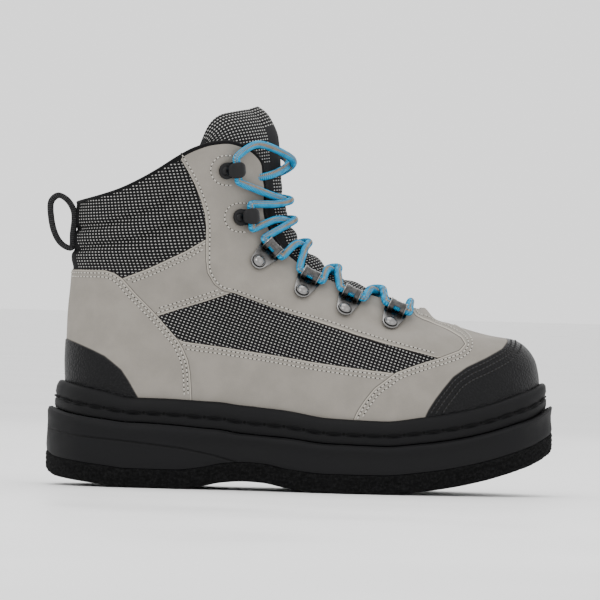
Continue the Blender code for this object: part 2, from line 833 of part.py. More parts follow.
def make_lace_ring(name, seat):
    """A riveted lace ring: tapering plate, domed rivet, and a tunnel for the lace across its top."""
    rivet = RIVET_DIAMETER / 2
    shoulder = RING_PLATE_WIDTH / 2
    top = RING_PLATE_LENGTH
    outline = arc((0, 0), rivet * 1.25, 180, 360, 4)
    corner = RING_PLATE_CORNER
    outline += [(shoulder, top * 0.62), (shoulder, top - corner), (shoulder - corner, top)]
    outline += [(corner - shoulder, top), (-shoulder, top - corner), (-shoulder, top * 0.62)]
    plate = flat_plate(name, "gunmetal", outline, RING_PLATE_GAUGE)
    dome = round_bar(name + "_rivet", "gunmetal", rivet, RIVET_DOME, 8,
                     (0, 0, RING_PLATE_GAUGE + RIVET_DOME * 0.375), tip=rivet * 0.6)
    hole = LACE_DIAMETER / 2 + CLEARANCE
    shell = hole + RING_PLATE_GAUGE
    middle = (0, top * TUNNEL_SHARE, shell - CLEARANCE)
    tunnel = round_bar(name + "_tunnel", "gunmetal", shell, TUNNEL_LENGTH, 8, middle, along_x=True)
    bore = round_bar(name + "_bore", "gunmetal", hole, TUNNEL_LENGTH * 1.5, 8, middle, along_x=True)
    combine(plate, "UNION", dome)
    combine(plate, "UNION", tunnel)
    combine(plate, "DIFFERENCE", bore)
    for piece in (plate, dome, tunnel, bore):
        piece.matrix_world = seat
    return plate


def make_hook(name, seat):
    """A speed hook: a flat riveted base and an arm that stands up and leans back over it."""
    half_length, half_width = HOOK_BASE_LENGTH / 2, HOOK_BASE_WIDTH / 2
    outline = arc((0, half_width - half_length), half_width, 180, 360, 4)
    outline += arc((0, half_length - HOOK_CORNER), half_width * 0.8, 0, 180, 3)
    base = flat_plate(name, "black_metal", outline, RING_PLATE_GAUGE)
    dome = round_bar(name + "_rivet", "black_metal", RIVET_DIAMETER * 0.36, HOOK_DOME, 8,
                     (0, -half_length * 0.45, RING_PLATE_GAUGE + HOOK_DOME * 0.36), tip=RIVET_DIAMETER * 0.22)
    profile = [(half_length * reach, HOOK_RISE * rise) for reach, rise in HOOK_ARM]
    arm = flat_plate(name + "_arm", "black_metal", profile, HOOK_BASE_WIDTH)
    stand = Matrix(((0, 0, 1, 0), (1, 0, 0, 0), (0, 1, 0, 0), (0, 0, 0, 1)))
    arm.data.transform(Matrix.Translation((-HOOK_BASE_WIDTH / 2, 0, 0)) @ stand)
    combine(base, "UNION", dome)
    combine(base, "UNION", arm)
    for piece in (base, dome, arm):
        piece.matrix_world = seat
    return base


def ring_seat(row, side):
    """Where a lace ring sits, its Y from the rivet to the loop and its origin at the rivet."""
    turn, level = place(row[1], row[2], side)
    loop_turn, loop_level = place(row[3], row[4], side)
    heading = skin(loop_turn, loop_level) - skin(turn, level)
    middle = place((row[1] + row[3]) / 2, (row[2] + row[4]) / 2, side)
    seat = seat_on_stay(*middle, heading, RING_PLATE_WIDTH / 2, RING_PLATE_LENGTH + RIVET_DIAMETER)
    return seat @ Matrix.Translation((0, -RING_PLATE_LENGTH * TUNNEL_SHARE / 2, 0))


def hook_seat(row, side):
    """Where a hook sits, its Y towards the throat."""
    turn, level = place(row[1], row[2], side)
    heading = skin(turn - side * 0.2, level) - skin(turn, level)
    return seat_on_stay(turn, level, heading, HOOK_BASE_WIDTH / 2, HOOK_BASE_LENGTH * 1.2)


def make_hardware():
    """Four lace rings and two hooks on each side."""
    for side, word in ((-1, "outer"), (1, "inner")):
        for row in RING_PLACES:
            make_lace_ring("lace_ring_" + word + "_" + row[0], ring_seat(row, side))
        for row in HOOK_PLACES:
            make_hook("hook_" + word + "_" + row[0], hook_seat(row, side))


def make_tube(name, points, diameter, material):
    """A round tube along points, as a welded mesh."""
    curve = bpy.data.curves.new(name, "CURVE")
    curve.dimensions = "3D"
    curve.bevel_depth = diameter / 2
    curve.bevel_resolution = 2
    curve.use_fill_caps = True
    spline = curve.splines.new("POLY")
    spline.points.add(len(points) - 1)
    for point, spot in zip(spline.points, points):
        point.co = (*spot, 1)
    wire = bpy.data.objects.new(name, curve)
    bpy.data.collections["wading_boot"].objects.link(wire)
    bpy.context.view_layer.update()
    graph = bpy.context.evaluated_depsgraph_get()
    builder = bmesh.new()
    builder.from_mesh(bpy.data.meshes.new_from_object(wire.evaluated_get(graph)))
    bpy.data.objects.remove(wire)
    return make_object(name, finish_mesh(name, builder), material)


def mouth(kind, row, side, end):
    """Where the lace leaves a ring or hook, and which way. End is 1 for its upper mouth, -1 for its lower."""
    if kind == "ring":
        seat = ring_seat(row, side)
        half, spot = TUNNEL_LENGTH / 2, (RING_PLATE_LENGTH * TUNNEL_SHARE, LACE_DIAMETER / 2 + RING_PLATE_GAUGE)
    else:
        seat = hook_seat(row, side)
        half, spot = HOOK_BASE_WIDTH / 2, (HOOK_BASE_LENGTH * 0.28, HOOK_RISE * 0.5)
    along_x = side * end
    start = seat @ Vector((along_x * (half + 2 * CLEARANCE), *spot))
    return start, (seat.to_3x3() @ Vector((along_x, 0, 0))).normalized()


def smooth_line(controls, count):
    """Points along a smooth curve through control points, a given number between each two."""
    points = []
    for index in range(len(controls) - 1):
        first = controls[max(index - 1, 0)]
        second, third = controls[index], controls[index + 1]
        fourth = controls[min(index + 2, len(controls) - 1)]
        for step in range(count):
            share = step / count
            pull = (third - first) * share + (first * 2 - second * 5 + third * 4 - fourth) * share ** 2
            pull += (second * 3 - first - third * 3 + fourth) * share ** 3
            points.append(second + pull * 0.5)
    points.append(controls[-1])
    return points


def strand_points(low, high, crest, side):
    """A strand from a lower ring's upper mouth, over the tongue, to the next one's lower mouth across."""
    start, leave = mouth(*low, side, 1)
    end, arrive = mouth(*high, -side, -1)
    low_turn, low_level = place(low[1][-2], low[1][-1], side)
    high_turn, high_level = place(high[1][-2], high[1][-1], -side)
    controls = [start, start + leave * LACE_DIAMETER]
    for share, crest_share, lift in LACE_GUIDES:
        turn = low_turn + (high_turn - low_turn) * share
        base = low_level if share < 0.5 else high_level
        level = base + (crest - base) * crest_share
        proud = LACE_DIAMETER / 2 + (COVER_THICKNESS + 2 * CLEARANCE) * lift
        controls.append(skin(turn, level, proud))
    controls += [end + arrive * LACE_DIAMETER, end]
    return smooth_line(controls, 2)


def end_strand_points(side):
    """The top strand: up from a top hook, over the tongue, and down to the other eyestay's edge."""
    start, leave = mouth("hook", HOOK_PLACES[0], side, 1)
    controls = [start, start + leave * LACE_DIAMETER]
    for station, rise, across, lift in TOP_GUIDES:
        turn, level = place(station, rise, side * across)
        controls.append(skin(turn, level, LACE_DIAMETER / 2 + COVER_THICKNESS * lift))
    return smooth_line(controls, 2)


def bar_points():
    """The straight bar between the lowest lace rings, in front of the throat."""
    start, leave = mouth("ring", RING_PLACES[-1], -1, -1)
    end, arrive = mouth("ring", RING_PLACES[-1], 1, -1)
    bend = LACE_DIAMETER
    near, far = start + leave * bend, end + arrive * bend
    crest = skin(0.0, BAR_LEVEL, LACE_DIAMETER)
    return smooth_line([start, near, (near + crest) / 2 + Vector((0, 0, bend / 4)), crest,
                        (far + crest) / 2 + Vector((0, 0, bend / 4)), far, end], 2)


def make_laces():
    """The crossings in front of the tongue, each pair of strands joined where they cross."""
    holders = [("ring", row) for row in reversed(RING_PLACES)]
    holders += [("hook", row) for row in reversed(HOOK_PLACES)]
    for index, crest in enumerate(CREST_LEVELS):
        low, high = holders[index], holders[index + 1]
        name = "lace_cross_" + str(index + 1)
        strand = make_tube(name, strand_points(low, high, crest, -1), LACE_DIAMETER, "lace")
        other = make_tube(name + "_over", strand_points(low, high, crest, 1), LACE_DIAMETER, "lace")
        combine(strand, "UNION", other)
    top = make_tube("lace_top", end_strand_points(-1), LACE_DIAMETER, "lace")
    over = make_tube("lace_top_over", end_strand_points(1), LACE_DIAMETER, "lace")
    combine(top, "UNION", over)
    make_tube("lace_bar", bar_points(), LACE_DIAMETER, "lace")


def make_pull_loop():
    """A ribbon loop sewn to the back of the collar, open to a finger."""
    sewn = []
    for level in LOOP_LEVELS:
        spot = skin(math.pi, level, 2 * CLEARANCE + LOOP_GAUGE / 2)
        sewn.append(Vector((spot.x, spot.z)))
    line = sewn + [Vector((along(station), above_seat(rise))) for station, rise in LOOP_LINE]
    count = len(line)
    outer, inner = [], []
    for index, spot in enumerate(line):
        run = (line[(index + 1) % count] - line[index - 1]).normalized()
        side = Vector((-run.y, run.x)) * LOOP_GAUGE / 2
        outer.append(spot - side)
        inner.append(spot + side)
    builder = bmesh.new()
    rows = []
    for points, y in ((outer, -1), (outer, 1), (inner, 1), (inner, -1)):
        rows.append(add_row(builder, [(spot.x, y * LOOP_WIDTH / 2, spot.y) for spot in points]))
    for index, row in enumerate(rows):
        join_rows(builder, row, rows[(index + 1) % 4], closed=True)
    return make_object("pull_loop", finish_mesh("pull_loop", builder), "webbing")


def make_materials():
    """One plain material for each name."""
    for name, (colour, roughness, metallic) in MATERIALS.items():
        material = bpy.data.materials.new(name)
        material.use_nodes = True
        shader = material.node_tree.nodes["Principled BSDF"]
        shader.inputs["Base Color"].default_value = (*colour, 1)
        shader.inputs["Roughness"].default_value = roughness
        shader.inputs["Metallic"].default_value = metallic


def make_boot():
    """The whole boot."""
    for thing in list(bpy.data.objects):
        bpy.data.objects.remove(thing)
    for name in ("wading_boot", "cutters"):
        bpy.context.scene.collection.children.link(bpy.data.collections.new(name))
    make_materials()
    make_sole_layer("felt_sole", FELT_STEPS, tread, lambda x: felt_top(x) - CLEARANCE, "felt")
    make_sole_layer("midsole", MIDSOLE_STEPS, felt_top, ledge, "rubber")
    make_cupsole()
    make_insole()
    make_upper()
    make_tongue()
    make_covers()
    make_hardware()
    make_laces()
    make_pull_loop()


make_boot()
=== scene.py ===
"""The wading boot, dressed for its picture: panels, weave, stitching, lacing and a layered sole."""

import math

import bmesh
import bpy
import numpy as np
from mathutils import Matrix, Vector


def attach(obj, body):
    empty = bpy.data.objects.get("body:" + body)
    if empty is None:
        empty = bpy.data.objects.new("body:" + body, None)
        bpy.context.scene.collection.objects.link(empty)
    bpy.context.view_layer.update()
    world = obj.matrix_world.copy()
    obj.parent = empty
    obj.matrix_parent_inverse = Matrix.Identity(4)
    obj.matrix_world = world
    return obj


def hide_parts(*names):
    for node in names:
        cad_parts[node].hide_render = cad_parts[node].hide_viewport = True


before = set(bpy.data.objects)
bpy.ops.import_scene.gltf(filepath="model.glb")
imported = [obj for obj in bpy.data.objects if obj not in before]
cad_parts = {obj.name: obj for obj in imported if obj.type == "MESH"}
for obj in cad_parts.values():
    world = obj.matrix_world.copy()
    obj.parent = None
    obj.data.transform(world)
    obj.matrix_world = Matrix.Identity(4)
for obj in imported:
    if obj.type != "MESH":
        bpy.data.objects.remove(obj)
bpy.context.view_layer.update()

MM = 0.001

# Driving sizes in metres, as in the part
SOLE_LENGTH = 0.289
HEEL_REACH = 0.064
BALL_WIDTH = 0.098
SHAFT_WIDTH = 0.077
SHAFT_SHARE = 0.78          # the shaft rings' width share that gives the full shaft width
UPPER_HEIGHT = 0.157
FELT_THICKNESS = 0.011
MIDSOLE_HEEL = 0.0256
CUP_FLOOR = 0.0044
CUP_HEIGHT = 0.015
TOE_SPRING = 0.028
SOLE_MARGIN = 0.010
WALL = 0.0024
INSOLE_THICKNESS = 0.004
TONGUE_PAD = 0.0065
TONGUE_EDGE = 0.0028
COVER_THICKNESS = 0.0012
LACE_DIAMETER = 0.0043
RIVET_DIAMETER = 0.0075
RING_PLATE_WIDTH = 0.0135
RING_PLATE_LENGTH = 0.0138
RING_PLATE_GAUGE = 0.0012
TUNNEL_LENGTH = 0.0100
TUNNEL_SHARE = 0.85
HOOK_BASE_LENGTH = 0.0130
HOOK_BASE_WIDTH = 0.0095
HOOK_RISE = 0.0075
LOOP_WIDTH = 0.014
LOOP_GAUGE = 0.0018
CLEARANCE = 0.0003
SEAT = FELT_THICKNESS + MIDSOLE_HEEL + CUP_FLOOR

# Sole: station along it, tread, midsole and cup as shares of their sizes
SOLE_ROWS = (
    # station, tread, midsole, cup
    (0.000, 0.340, 1.03, 1.15),
    (0.020, 0.196, 1.04, 1.15),
    (0.055, 0.130, 1.01, 1.13),
    (0.120, 0.050, 1.00, 1.05),
    (0.170, 0.000, 1.00, 0.95),
    (0.260, 0.000, 0.96, 1.00),
    (0.310, 0.060, 0.85, 1.03),
    (0.350, 0.150, 0.72, 1.05),
    (0.395, 0.186, 0.61, 1.07),
    (0.430, 0.170, 0.60, 1.06),
    (0.485, 0.065, 0.67, 1.03),
    (0.560, 0.000, 0.65, 0.97),
    (0.665, 0.000, 0.625, 0.95),
    (0.740, 0.075, 0.62, 1.00),
    (0.800, 0.170, 0.615, 1.03),
    (0.860, 0.310, 0.61, 1.06),
    (0.920, 0.500, 0.615, 1.10),
    (0.960, 0.660, 0.60, 1.12),
    (0.990, 0.840, 0.63, 1.15),
    (1.000, 0.920, 0.66, 1.10),
)

# Rings of the last, from the sole up
RING_ROWS = (
    # level, back, front, back rise, front rise, width, follows the floor, shaft
    (0, 0.0450, 0.9620, 0.024, 0.052, 0.94, 1.00, 0.0),
    (1, 0.0410, 0.9675, 0.105, 0.135, 1.00, 0.95, 0.0),
    (2, 0.0385, 0.9615, 0.197, 0.210, 1.00, 0.55, 0.0),
    (3, 0.0395, 0.9475, 0.274, 0.258, 0.96, 0.30, 0.0),
    (4, 0.0400, 0.9200, 0.338, 0.294, 0.91, 0.15, 0.1),
    (5, 0.0412, 0.8685, 0.389, 0.310, 0.86, 0.05, 0.2),
    (6, 0.0426, 0.8130, 0.427, 0.336, 0.81, 0.00, 0.35),
    (7, 0.0443, 0.7335, 0.468, 0.392, 0.79, 0.00, 0.5),
    (8, 0.0460, 0.6505, 0.516, 0.451, 0.77, 0.00, 0.7),
    (9, 0.0467, 0.5740, 0.567, 0.512, 0.76, 0.00, 0.85),
    (10, 0.0478, 0.5156, 0.612, 0.588, 0.76, 0.00, 1.0),
    (11, 0.0491, 0.4775, 0.656, 0.669, 0.76, 0.00, 1.0),
    (12, 0.0512, 0.4585, 0.701, 0.752, 0.77, 0.00, 1.0),
    (13, 0.0543, 0.4533, 0.745, 0.847, 0.79, 0.00, 1.0),
    (14, 0.0571, 0.4498, 0.796, 0.936, 0.81, 0.00, 1.0),
    (15, 0.0606, 0.4446, 0.885, 1.013, 0.82, 0.00, 1.0),
    (16, 0.0657, 0.4120, 0.981, 1.128, 0.81, 0.00, 1.0),
)
TOP_LEVEL = 16
LEAN_FROM = 7.0             # level where the rings start to take the shaft's width
LEAN_LEVELS = 3.0

FOOT_ROWS = (
    # share, outer side, inner side, bow
    (0.00, 1.30, 1.30, 0.00),
    (0.08, 1.13, 1.13, 0.00),
    (0.20, 0.87, 0.84, -0.01),
    (0.35, 0.75, 0.64, -0.02),
    (0.50, 0.90, 0.70, -0.01),
    (0.62, 1.04, 0.90, 0.01),
    (0.72, 1.07, 1.06, 0.04),
    (0.82, 1.10, 1.08, 0.08),
    (0.92, 1.22, 1.18, 0.12),
    (1.00, 1.34, 1.34, 0.15),
)
SHAFT_ROWS = (
    # share, both sides
    (0.00, 0.95),
    (0.30, 1.00),
    (0.60, 1.03),
    (1.00, 0.92),
)
THROAT_ROWS = (
    # level, throat, tongue
    (6.4, 0.0, 22.0),
    (7.2, 0.0, 30.0),
    (7.4, 11.0, 36.0),
    (7.7, 20.0, 42.0),
    (8.2, 29.0, 48.0),
    (9.0, 35.0, 53.0),
    (10.5, 38.0, 57.0),
    (12.0, 37.0, 60.0),
    (13.0, 34.0, 65.0),
    (14.5, 30.0, 71.0),
    (16.0, 30.0, 76.0),
)
THROAT_POINT = 7.2
TONGUE_FOOT = 6.4
TONGUE_SLACK = 11.0

COLLAR_ROWS = (
    # station, rise
    (0.040, 0.765),
    (0.069, 0.779),
    (0.096, 0.793),
    (0.135, 0.817),
    (0.174, 0.851),
    (0.213, 0.893),
    (0.252, 0.941),
    (0.282, 0.972),
    (0.317, 0.994),
    (0.345, 1.000),
    (0.370, 0.991),
    (0.388, 0.976),
    (0.401, 0.956),
    (0.410, 0.933),
    (0.418, 0.875),
    (0.440, 0.700),
)

# Panel edges in side view: station along the sole, rise over the heel seat, as shares
HEEL_EDGE = ((0.037, 0.518), (0.080, 0.518), (0.112, 0.518), (0.130, 0.509), (0.146, 0.490),
             (0.173, 0.436), (0.217, 0.357), (0.256, 0.279), (0.268, 0.244), (0.279, 0.200),
             (0.284, 0.156), (0.288, 0.067))
COUNTER_EDGE = ((0.025, 0.283), (0.037, 0.268), (0.059, 0.253), (0.090, 0.230), (0.116, 0.208),
                (0.132, 0.186), (0.149, 0.161), (0.164, 0.121), (0.183, 0.062))
STRAP_TOP = ((0.146, 0.490), (0.198, 0.529), (0.238, 0.565), (0.272, 0.596), (0.309, 0.639))
STRAP_LOW = ((0.217, 0.358), (0.264, 0.388), (0.312, 0.417), (0.363, 0.451))
STAY_REAR = ((0.251, 0.937), (0.271, 0.879), (0.284, 0.835), (0.297, 0.777), (0.305, 0.729),
             (0.308, 0.681), (0.310, 0.563), (0.314, 0.519), (0.328, 0.479), (0.345, 0.457),
             (0.363, 0.451))
STAY_LOW = ((0.363, 0.451), (0.407, 0.423), (0.460, 0.389), (0.521, 0.355), (0.595, 0.314),
            (0.656, 0.282), (0.713, 0.257), (0.766, 0.233))
QUARTER_TOP = ((0.256, 0.279), (0.269, 0.268), (0.340, 0.253), (0.442, 0.229), (0.523, 0.207),
               (0.597, 0.190), (0.635, 0.183), (0.680, 0.175))
VAMP_EDGE = ((0.702, 0.441), (0.722, 0.378), (0.736, 0.365), (0.768, 0.346), (0.790, 0.326),
             (0.812, 0.303), (0.820, 0.282), (0.809, 0.259), (0.778, 0.237), (0.725, 0.205),
             (0.687, 0.178), (0.669, 0.153), (0.645, 0.119), (0.627, 0.076), (0.614, 0.038),
             (0.607, 0.009))
TOE_EDGE = ((0.903, 0.340), (0.905, 0.291), (0.893, 0.266), (0.859, 0.231), (0.824, 0.200),
            (0.797, 0.165), (0.779, 0.123), (0.764, 0.085), (0.751, 0.046), (0.745, 0.021))
CHANNELS = (
    # the collar's sewn channels, in photo pixels
    ((175.7, 197.3), (157.3, 209.6), (136.9, 217.2), (111.4, 224.4), (76.0, 229.0)),
    ((200.0, 219.8), (180.8, 223.9), (162.4, 230.0), (148.2, 237.1), (127.8, 242.2), (76.0, 249.0)),
)

# Each panel closed round what lies under the others: name, outline, height over the mesh in mm
PANELS = (
    ("quarter", QUARTER_TOP + ((0.80, 0.10), (0.80, -0.3), (0.20, -0.3), (0.20, 0.30)), 0.5),
    ("strap", STRAP_TOP + ((0.36, 0.62), (0.39, 0.46)) + STRAP_LOW[::-1] + ((0.17, 0.40),), 0.5),
    ("heel", HEEL_EDGE + ((0.29, -0.3), (-0.1, -0.3), (-0.1, 0.518)), 0.9),
    ("stay", ((0.20, 1.25),) + STAY_REAR + STAY_LOW[1:] + ((0.85, 0.25), (0.85, 0.5), (0.70, 1.25)), 1.3),
    ("vamp", VAMP_EDGE + ((0.60, -0.3), (1.2, -0.3), (1.2, 0.7), (0.70, 0.7)), 1.5),
    ("counter", ((-0.1, 0.30),) + COUNTER_EDGE + ((0.19, -0.3), (-0.1, -0.3)), 1.5),
    ("toe", TOE_EDGE + ((0.74, -0.3), (1.2, -0.3), (1.2, 0.6), (0.90, 0.6)), 1.6),
)

# Rows of stitching inside a panel's edge: edge, how far in from it in mm, one row each
SEAMS = (
    (HEEL_EDGE, "heel", (1.7, 3.9)),
    (STRAP_TOP, "strap", (1.7, 3.9)),
    (STRAP_LOW, "strap", (1.7, 3.9)),
    (STAY_REAR, "stay", (1.9,)),
    (STAY_LOW, "stay", (1.9,)),
    (QUARTER_TOP, "quarter", (1.7, 3.9)),
    (VAMP_EDGE, "vamp", (1.7, 3.9)),
)
TOE_SEAMS = (TOE_EDGE, "toe", (1.8, 4.4, 7.6))

# Photo frame: pixels to metres at the boot's outer side
PIXEL = 0.5692 * MM
HEEL_PIXEL = (156.0, 486.7)
CAMERA_ROLL = math.radians(1.502)

CUP_STEPS = (
    # rise, heel, side, toe
    (0.00, 0.66, 0.46, 0.54),
    (0.08, 0.70, 0.50, 0.58),
    (0.28, 0.70, 0.50, 0.58),
    (0.34, 0.63, 0.43, 0.51),
    (0.46, 0.63, 0.43, 0.51),
    (0.55, 0.67, 0.48, 0.56),
    (0.76, 0.61, 0.46, 0.53),
    (0.88, 0.53, 0.41, 0.44),
    (0.96, 0.44, 0.35, 0.32),
    (1.00, 0.32, 0.24, 0.16),
)
MIDSOLE_STEPS = (
    # rise, heel, side, toe
    (0.00, 1.10, 0.74, 0.91),
    (0.10, 1.13, 0.76, 0.94),
    (0.40, 1.10, 0.73, 0.88),
    (0.60, 1.08, 0.71, 0.87),
    (0.84, 1.10, 0.74, 0.93),
    (0.94, 1.03, 0.69, 0.84),
    (1.00, 0.86, 0.56, 0.62),
)
MIDSOLE_LINE = (
    # the line moulded along the midsole, in photo pixels
    (40.0, 426.5), (80.0, 435.0), (130.0, 440.5), (180.0, 447.0), (213.0, 454.0), (240.0, 462.0),
)
FELT_STEPS = (
    # rise, heel, side, toe
    (0.00, 1.04, 0.68, 0.84),
    (0.14, 1.12, 0.75, 0.94),
    (0.90, 1.12, 0.75, 0.94),
    (1.00, 1.09, 0.72, 0.91),
)

# Linear base colours
GRAY = (0.240, 0.222, 0.196)
GRAY_DARK = (0.212, 0.196, 0.172)
GRAY_PALE = (0.305, 0.284, 0.252)
# paler cut edge of the gray panels, partly a painted highlight along each panel's rim
CUT_EDGE_AND_RIM_HIGHLIGHT = (0.430, 0.395, 0.340)
SHADE = (0.022, 0.020, 0.018)
MESH_BLACK = (0.004, 0.004, 0.0045)
MESH_WHITE = (0.390, 0.384, 0.370)
BLACK = (0.0035, 0.0035, 0.0040)
BLACK_PALE = (0.0060, 0.0060, 0.0066)
# paler cut edge of the black panels, partly a painted highlight along each rim; also the plain black of the
# tongue's edges and label
BLACK_EDGE = (0.012, 0.012, 0.013)
LINING = (0.014, 0.014, 0.015)
LINING_THREAD = (0.03, 0.03, 0.032)
FOOTBED = (0.016, 0.016, 0.017)
FOOTBED_THREAD = (0.035, 0.035, 0.037)
BINDING = (0.0030, 0.0030, 0.0034)
BINDING_THREAD = (0.0085, 0.0085, 0.009)
RUBBER = (0.0040, 0.0040, 0.0045)
CUP_RUBBER = (0.0034, 0.0034, 0.0038)
# painted shade in the groove of the line moulded along the midsole
LINE_GROOVE_SHADE = (0.0008, 0.0008, 0.0009)
FELT = (0.0035, 0.0035, 0.0038)
FELT_DARK = (0.0012, 0.0012, 0.0013)
FELT_PALE = (0.011, 0.011, 0.0115)
LACE_BLUE = (0.014, 0.350, 0.600)
LACE_BLUE_DARK = (0.006, 0.150, 0.320)
LACE_TAN = (0.270, 0.232, 0.185)
LACE_TAN_DARK = (0.130, 0.108, 0.086)
THREAD = (0.540, 0.515, 0.465)
TOE_THREAD = (0.034, 0.034, 0.035)
GROOVE_THREAD = (0.0030, 0.0030, 0.0033)
# painted shade standing for the needle holes in the leather and in the cup's groove
HOLE_SHADE = (0.010, 0.009, 0.008)
HOLE_SHADE_PALE = (0.03, 0.028, 0.025)
GROOVE_HOLE_SHADE = (0.002, 0.002, 0.002)
GUNMETAL = (0.062, 0.061, 0.060)
ENAMEL = (0.0040, 0.0040, 0.0045)
# painted shade at the foot of rings and hooks, round the rivet and inside the tunnel
METAL_PAINTED_SHADE = (0.008, 0.008, 0.008)
METAL_PAINTED_HIGHLIGHT = (0.220, 0.216, 0.212)   # painted highlight over the ring's plate and rivet, away from the tunnel
WEBBING = (0.008, 0.008, 0.0085)
WEBBING_DARK = (0.004, 0.004, 0.0045)
WEBBING_PALE = (0.040, 0.040, 0.041)
FLOOR_PALE = (0.86, 0.86, 0.86)
WHITE = (1.0, 1.0, 1.0)

# The woven mesh of the collar, the quarters and the tongue
DASH_PITCH = 2.25 * MM      # from one woven dash to the next along its row
DASH_ROWS = 1.78 * MM       # from one row to the next
DASH_WIDE = 0.26            # half sizes of a dash as shares of these
DASH_HIGH = 0.195
DASH_CORNER = 3.0           # power that squares a dash off
DASH_EDGE = (1.35, 0.55)    # reach where a dash is black and where it is full white
WEAVE_START = 0.1           # metres added across, so that no dash is counted below nothing
WEAVE_TILTS = (
    # rise, how much the woven rows climb for each step towards the toe, and how much the columns lean
    (0.20, -0.32, -0.22),
    (0.46, -0.32, -0.22),
    (0.49, 0.02, 0.16),
    (0.95, 0.10, 0.16),
)

# The upper's outer face
UPPER_COLUMNS = 400
UPPER_ROWS = 230
UPPER_FOOT = 0.5            # level where the face starts, inside the cup
RIM_STEPS = 4
RIM_TUCK = 0.4 * MM         # how far the rolled rim reaches in past the wall, and how far it rises
RIM_LIFT = 0.5 * MM
PANEL_EDGE = 0.5 * MM       # half width of the step at a panel's edge
PADDING_EDGE = (0.5 * MM, 5 * MM)   # distance from the panels over which the padding grows
COLLAR_RISES = (0.5, 0.58)  # rises over which the collar's padding starts
COLLAR_PUFF = 1.5 * MM
CHANNEL_DEPTH = 2.3 * MM
CHANNEL_HALF = 2.1 * MM
STRIP_HALF = 10.5 * MM      # half width of the black strip down the collar's back
BINDING_ROOM = 1.9 * MM     # how far the face stops below the collar's edge, for the binding
BINDING_FOOT = 9.2          # level where the throat's binding starts
BINDING_SINK = 0.35 * MM
BINDING_RADIUS = 1.20 * MM

# The lip of the vamp at the foot of the throat
LIP_RISE = 3.6 * MM
LIP_X = 0.1512
LIP_LENGTH = 3.7 * MM
LIP_WIDTH = 9.0 * MM
LIP_OVERHANG = 2.4 * MM
DIP_DEPTH = 1.8 * MM        # the hollow of the vamp in front of its lip
DIP_X = 0.1575
DIP_LENGTH = 4.4 * MM
DIP_WIDTH = 13.0 * MM

# Soft folds of the leather: start and end in station and rise, half width and depth in mm, minus sinks
CREASES = (
    ((0.600, 0.330), (0.640, 0.200), 3.0, -0.35),
    ((0.740, 0.330), (0.700, 0.215), 3.5, -0.30),
    ((0.330, 0.640), (0.420, 0.470), 4.0, -0.30),
    ((0.270, 0.560), (0.300, 0.440), 3.5, 0.30),
    ((0.060, 0.440), (0.190, 0.330), 5.0, -0.25),
    ((0.850, 0.230), (0.930, 0.120), 4.0, 0.25),
)

# The sole's layers
SOLE_COLUMNS = 360
LOOP_SPACING = 0.07         # rise between the loops of a layer, as a share of it
RIPPLE = 0.16 * MM          # height of the felt's ragged side
LINE_EDGE = 0.55 * MM       # half width of the line moulded along the midsole
GROOVE_STEP = (0.63, 0.43, 0.51)    # the cup's stand-out at the heel, side and toe where its groove runs
GROOVE_RISE = 0.40
GROOVE_PITCH = 11.5 * MM
GROOVE_STITCH = 9.0 * MM
GROOVE_WIDTH = 1.3 * MM
GROOVE_HOLE_RADIUS = 0.9 * MM
INSOLE_LOOPS = (
    # share of the insole's height, inset in mm
    (0.0, 0.6), (0.2, 0.0), (0.8, 0.0), (1.0, 1.2), (1.0, 4.0),
)

# Stitching
STITCH_RINGS = 5
STITCH_SIDES = 6
STITCH_PITCH = 2.55 * MM
STITCH_LENGTH = 1.75 * MM
STITCH_WIDTH = 0.78 * MM
TOE_STITCH_WIDTH = 0.897 * MM
HOLE_RADIUS = 0.62 * MM
HOLE_SIDES = 6
SEAM_MISS = 0.5 * MM        # a spot farther than this from its line isn't on the upper
SEAM_COVER = 0.8 * MM       # a stitch this near to a panel over it is covered
SEAM_SLACK = 0.9 * MM       # how much nearer to the edge than its row a stitch may lie
SEAM_OVER_CUP = 0.5 * MM
SEAM_UNDER_COLLAR = 1.5 * MM
HOOK_SEAM_RADIUS = 8.3 * MM
HOOK_SEAM_REACH = 5.5 * MM
HOOK_SEAM_BACK = 1.5 * MM   # how far behind the hook's middle its arc is centred

# The tongue
TONGUE_GRID = (140, 260)    # columns, rows
LABEL_SPAN = (13.3, 15.4)   # levels of the plain label on the tongue's face
LABEL_HALF = 12.5 * MM
LEVEL_HEIGHT = 8 * MM       # about how far apart the levels lie there
SELVAGE = 4.0 * MM          # the plain band along the tongue's own edges
TONGUE_CHANNEL_STEP = 0.62  # levels between the tongue's sewn channels
TONGUE_CHANNEL_LEVELS = (7.6, 8.2, 12.9, 13.3)  # they grow over the first two, fade over the last two
TONGUE_CHANNEL_DEPTH = 0.9 * MM
TONGUE_PUFFS = (7.4, 7.95, 8.6, 9.8, 10.95, 11.95)    # levels between crossings, where the pad swells
PUFF_RISE = 1.9 * MM
PUFF_LEVELS = 0.34
TONGUE_CORNER = 0.6         # share of its half width where its top starts to fall towards the corner
TONGUE_CORNER_LEVEL = 14.0
TONGUE_DROP = 0.39          # how much of the levels above that one the corner loses
TONGUE_ROLL = 0.55          # levels over which its top rolls over
TONGUE_SPREAD = 3.0         # degrees by which each side of its top opens out over the collar
TONGUE_SPREAD_LEVELS = (13.4, 15.4)
TONGUE_CREST = 1.7 * MM     # how far the middle of its top stands over the plain pad
STAY_BAND = 8.5 * MM        # black band of the tongue beside the eyestays, from the levels where it grows
STAY_BAND_LEVELS = (8.0, 11.0)
STAY_TOP_LEVEL = 13.9
STAY_BAND_RADIUS = 0.030

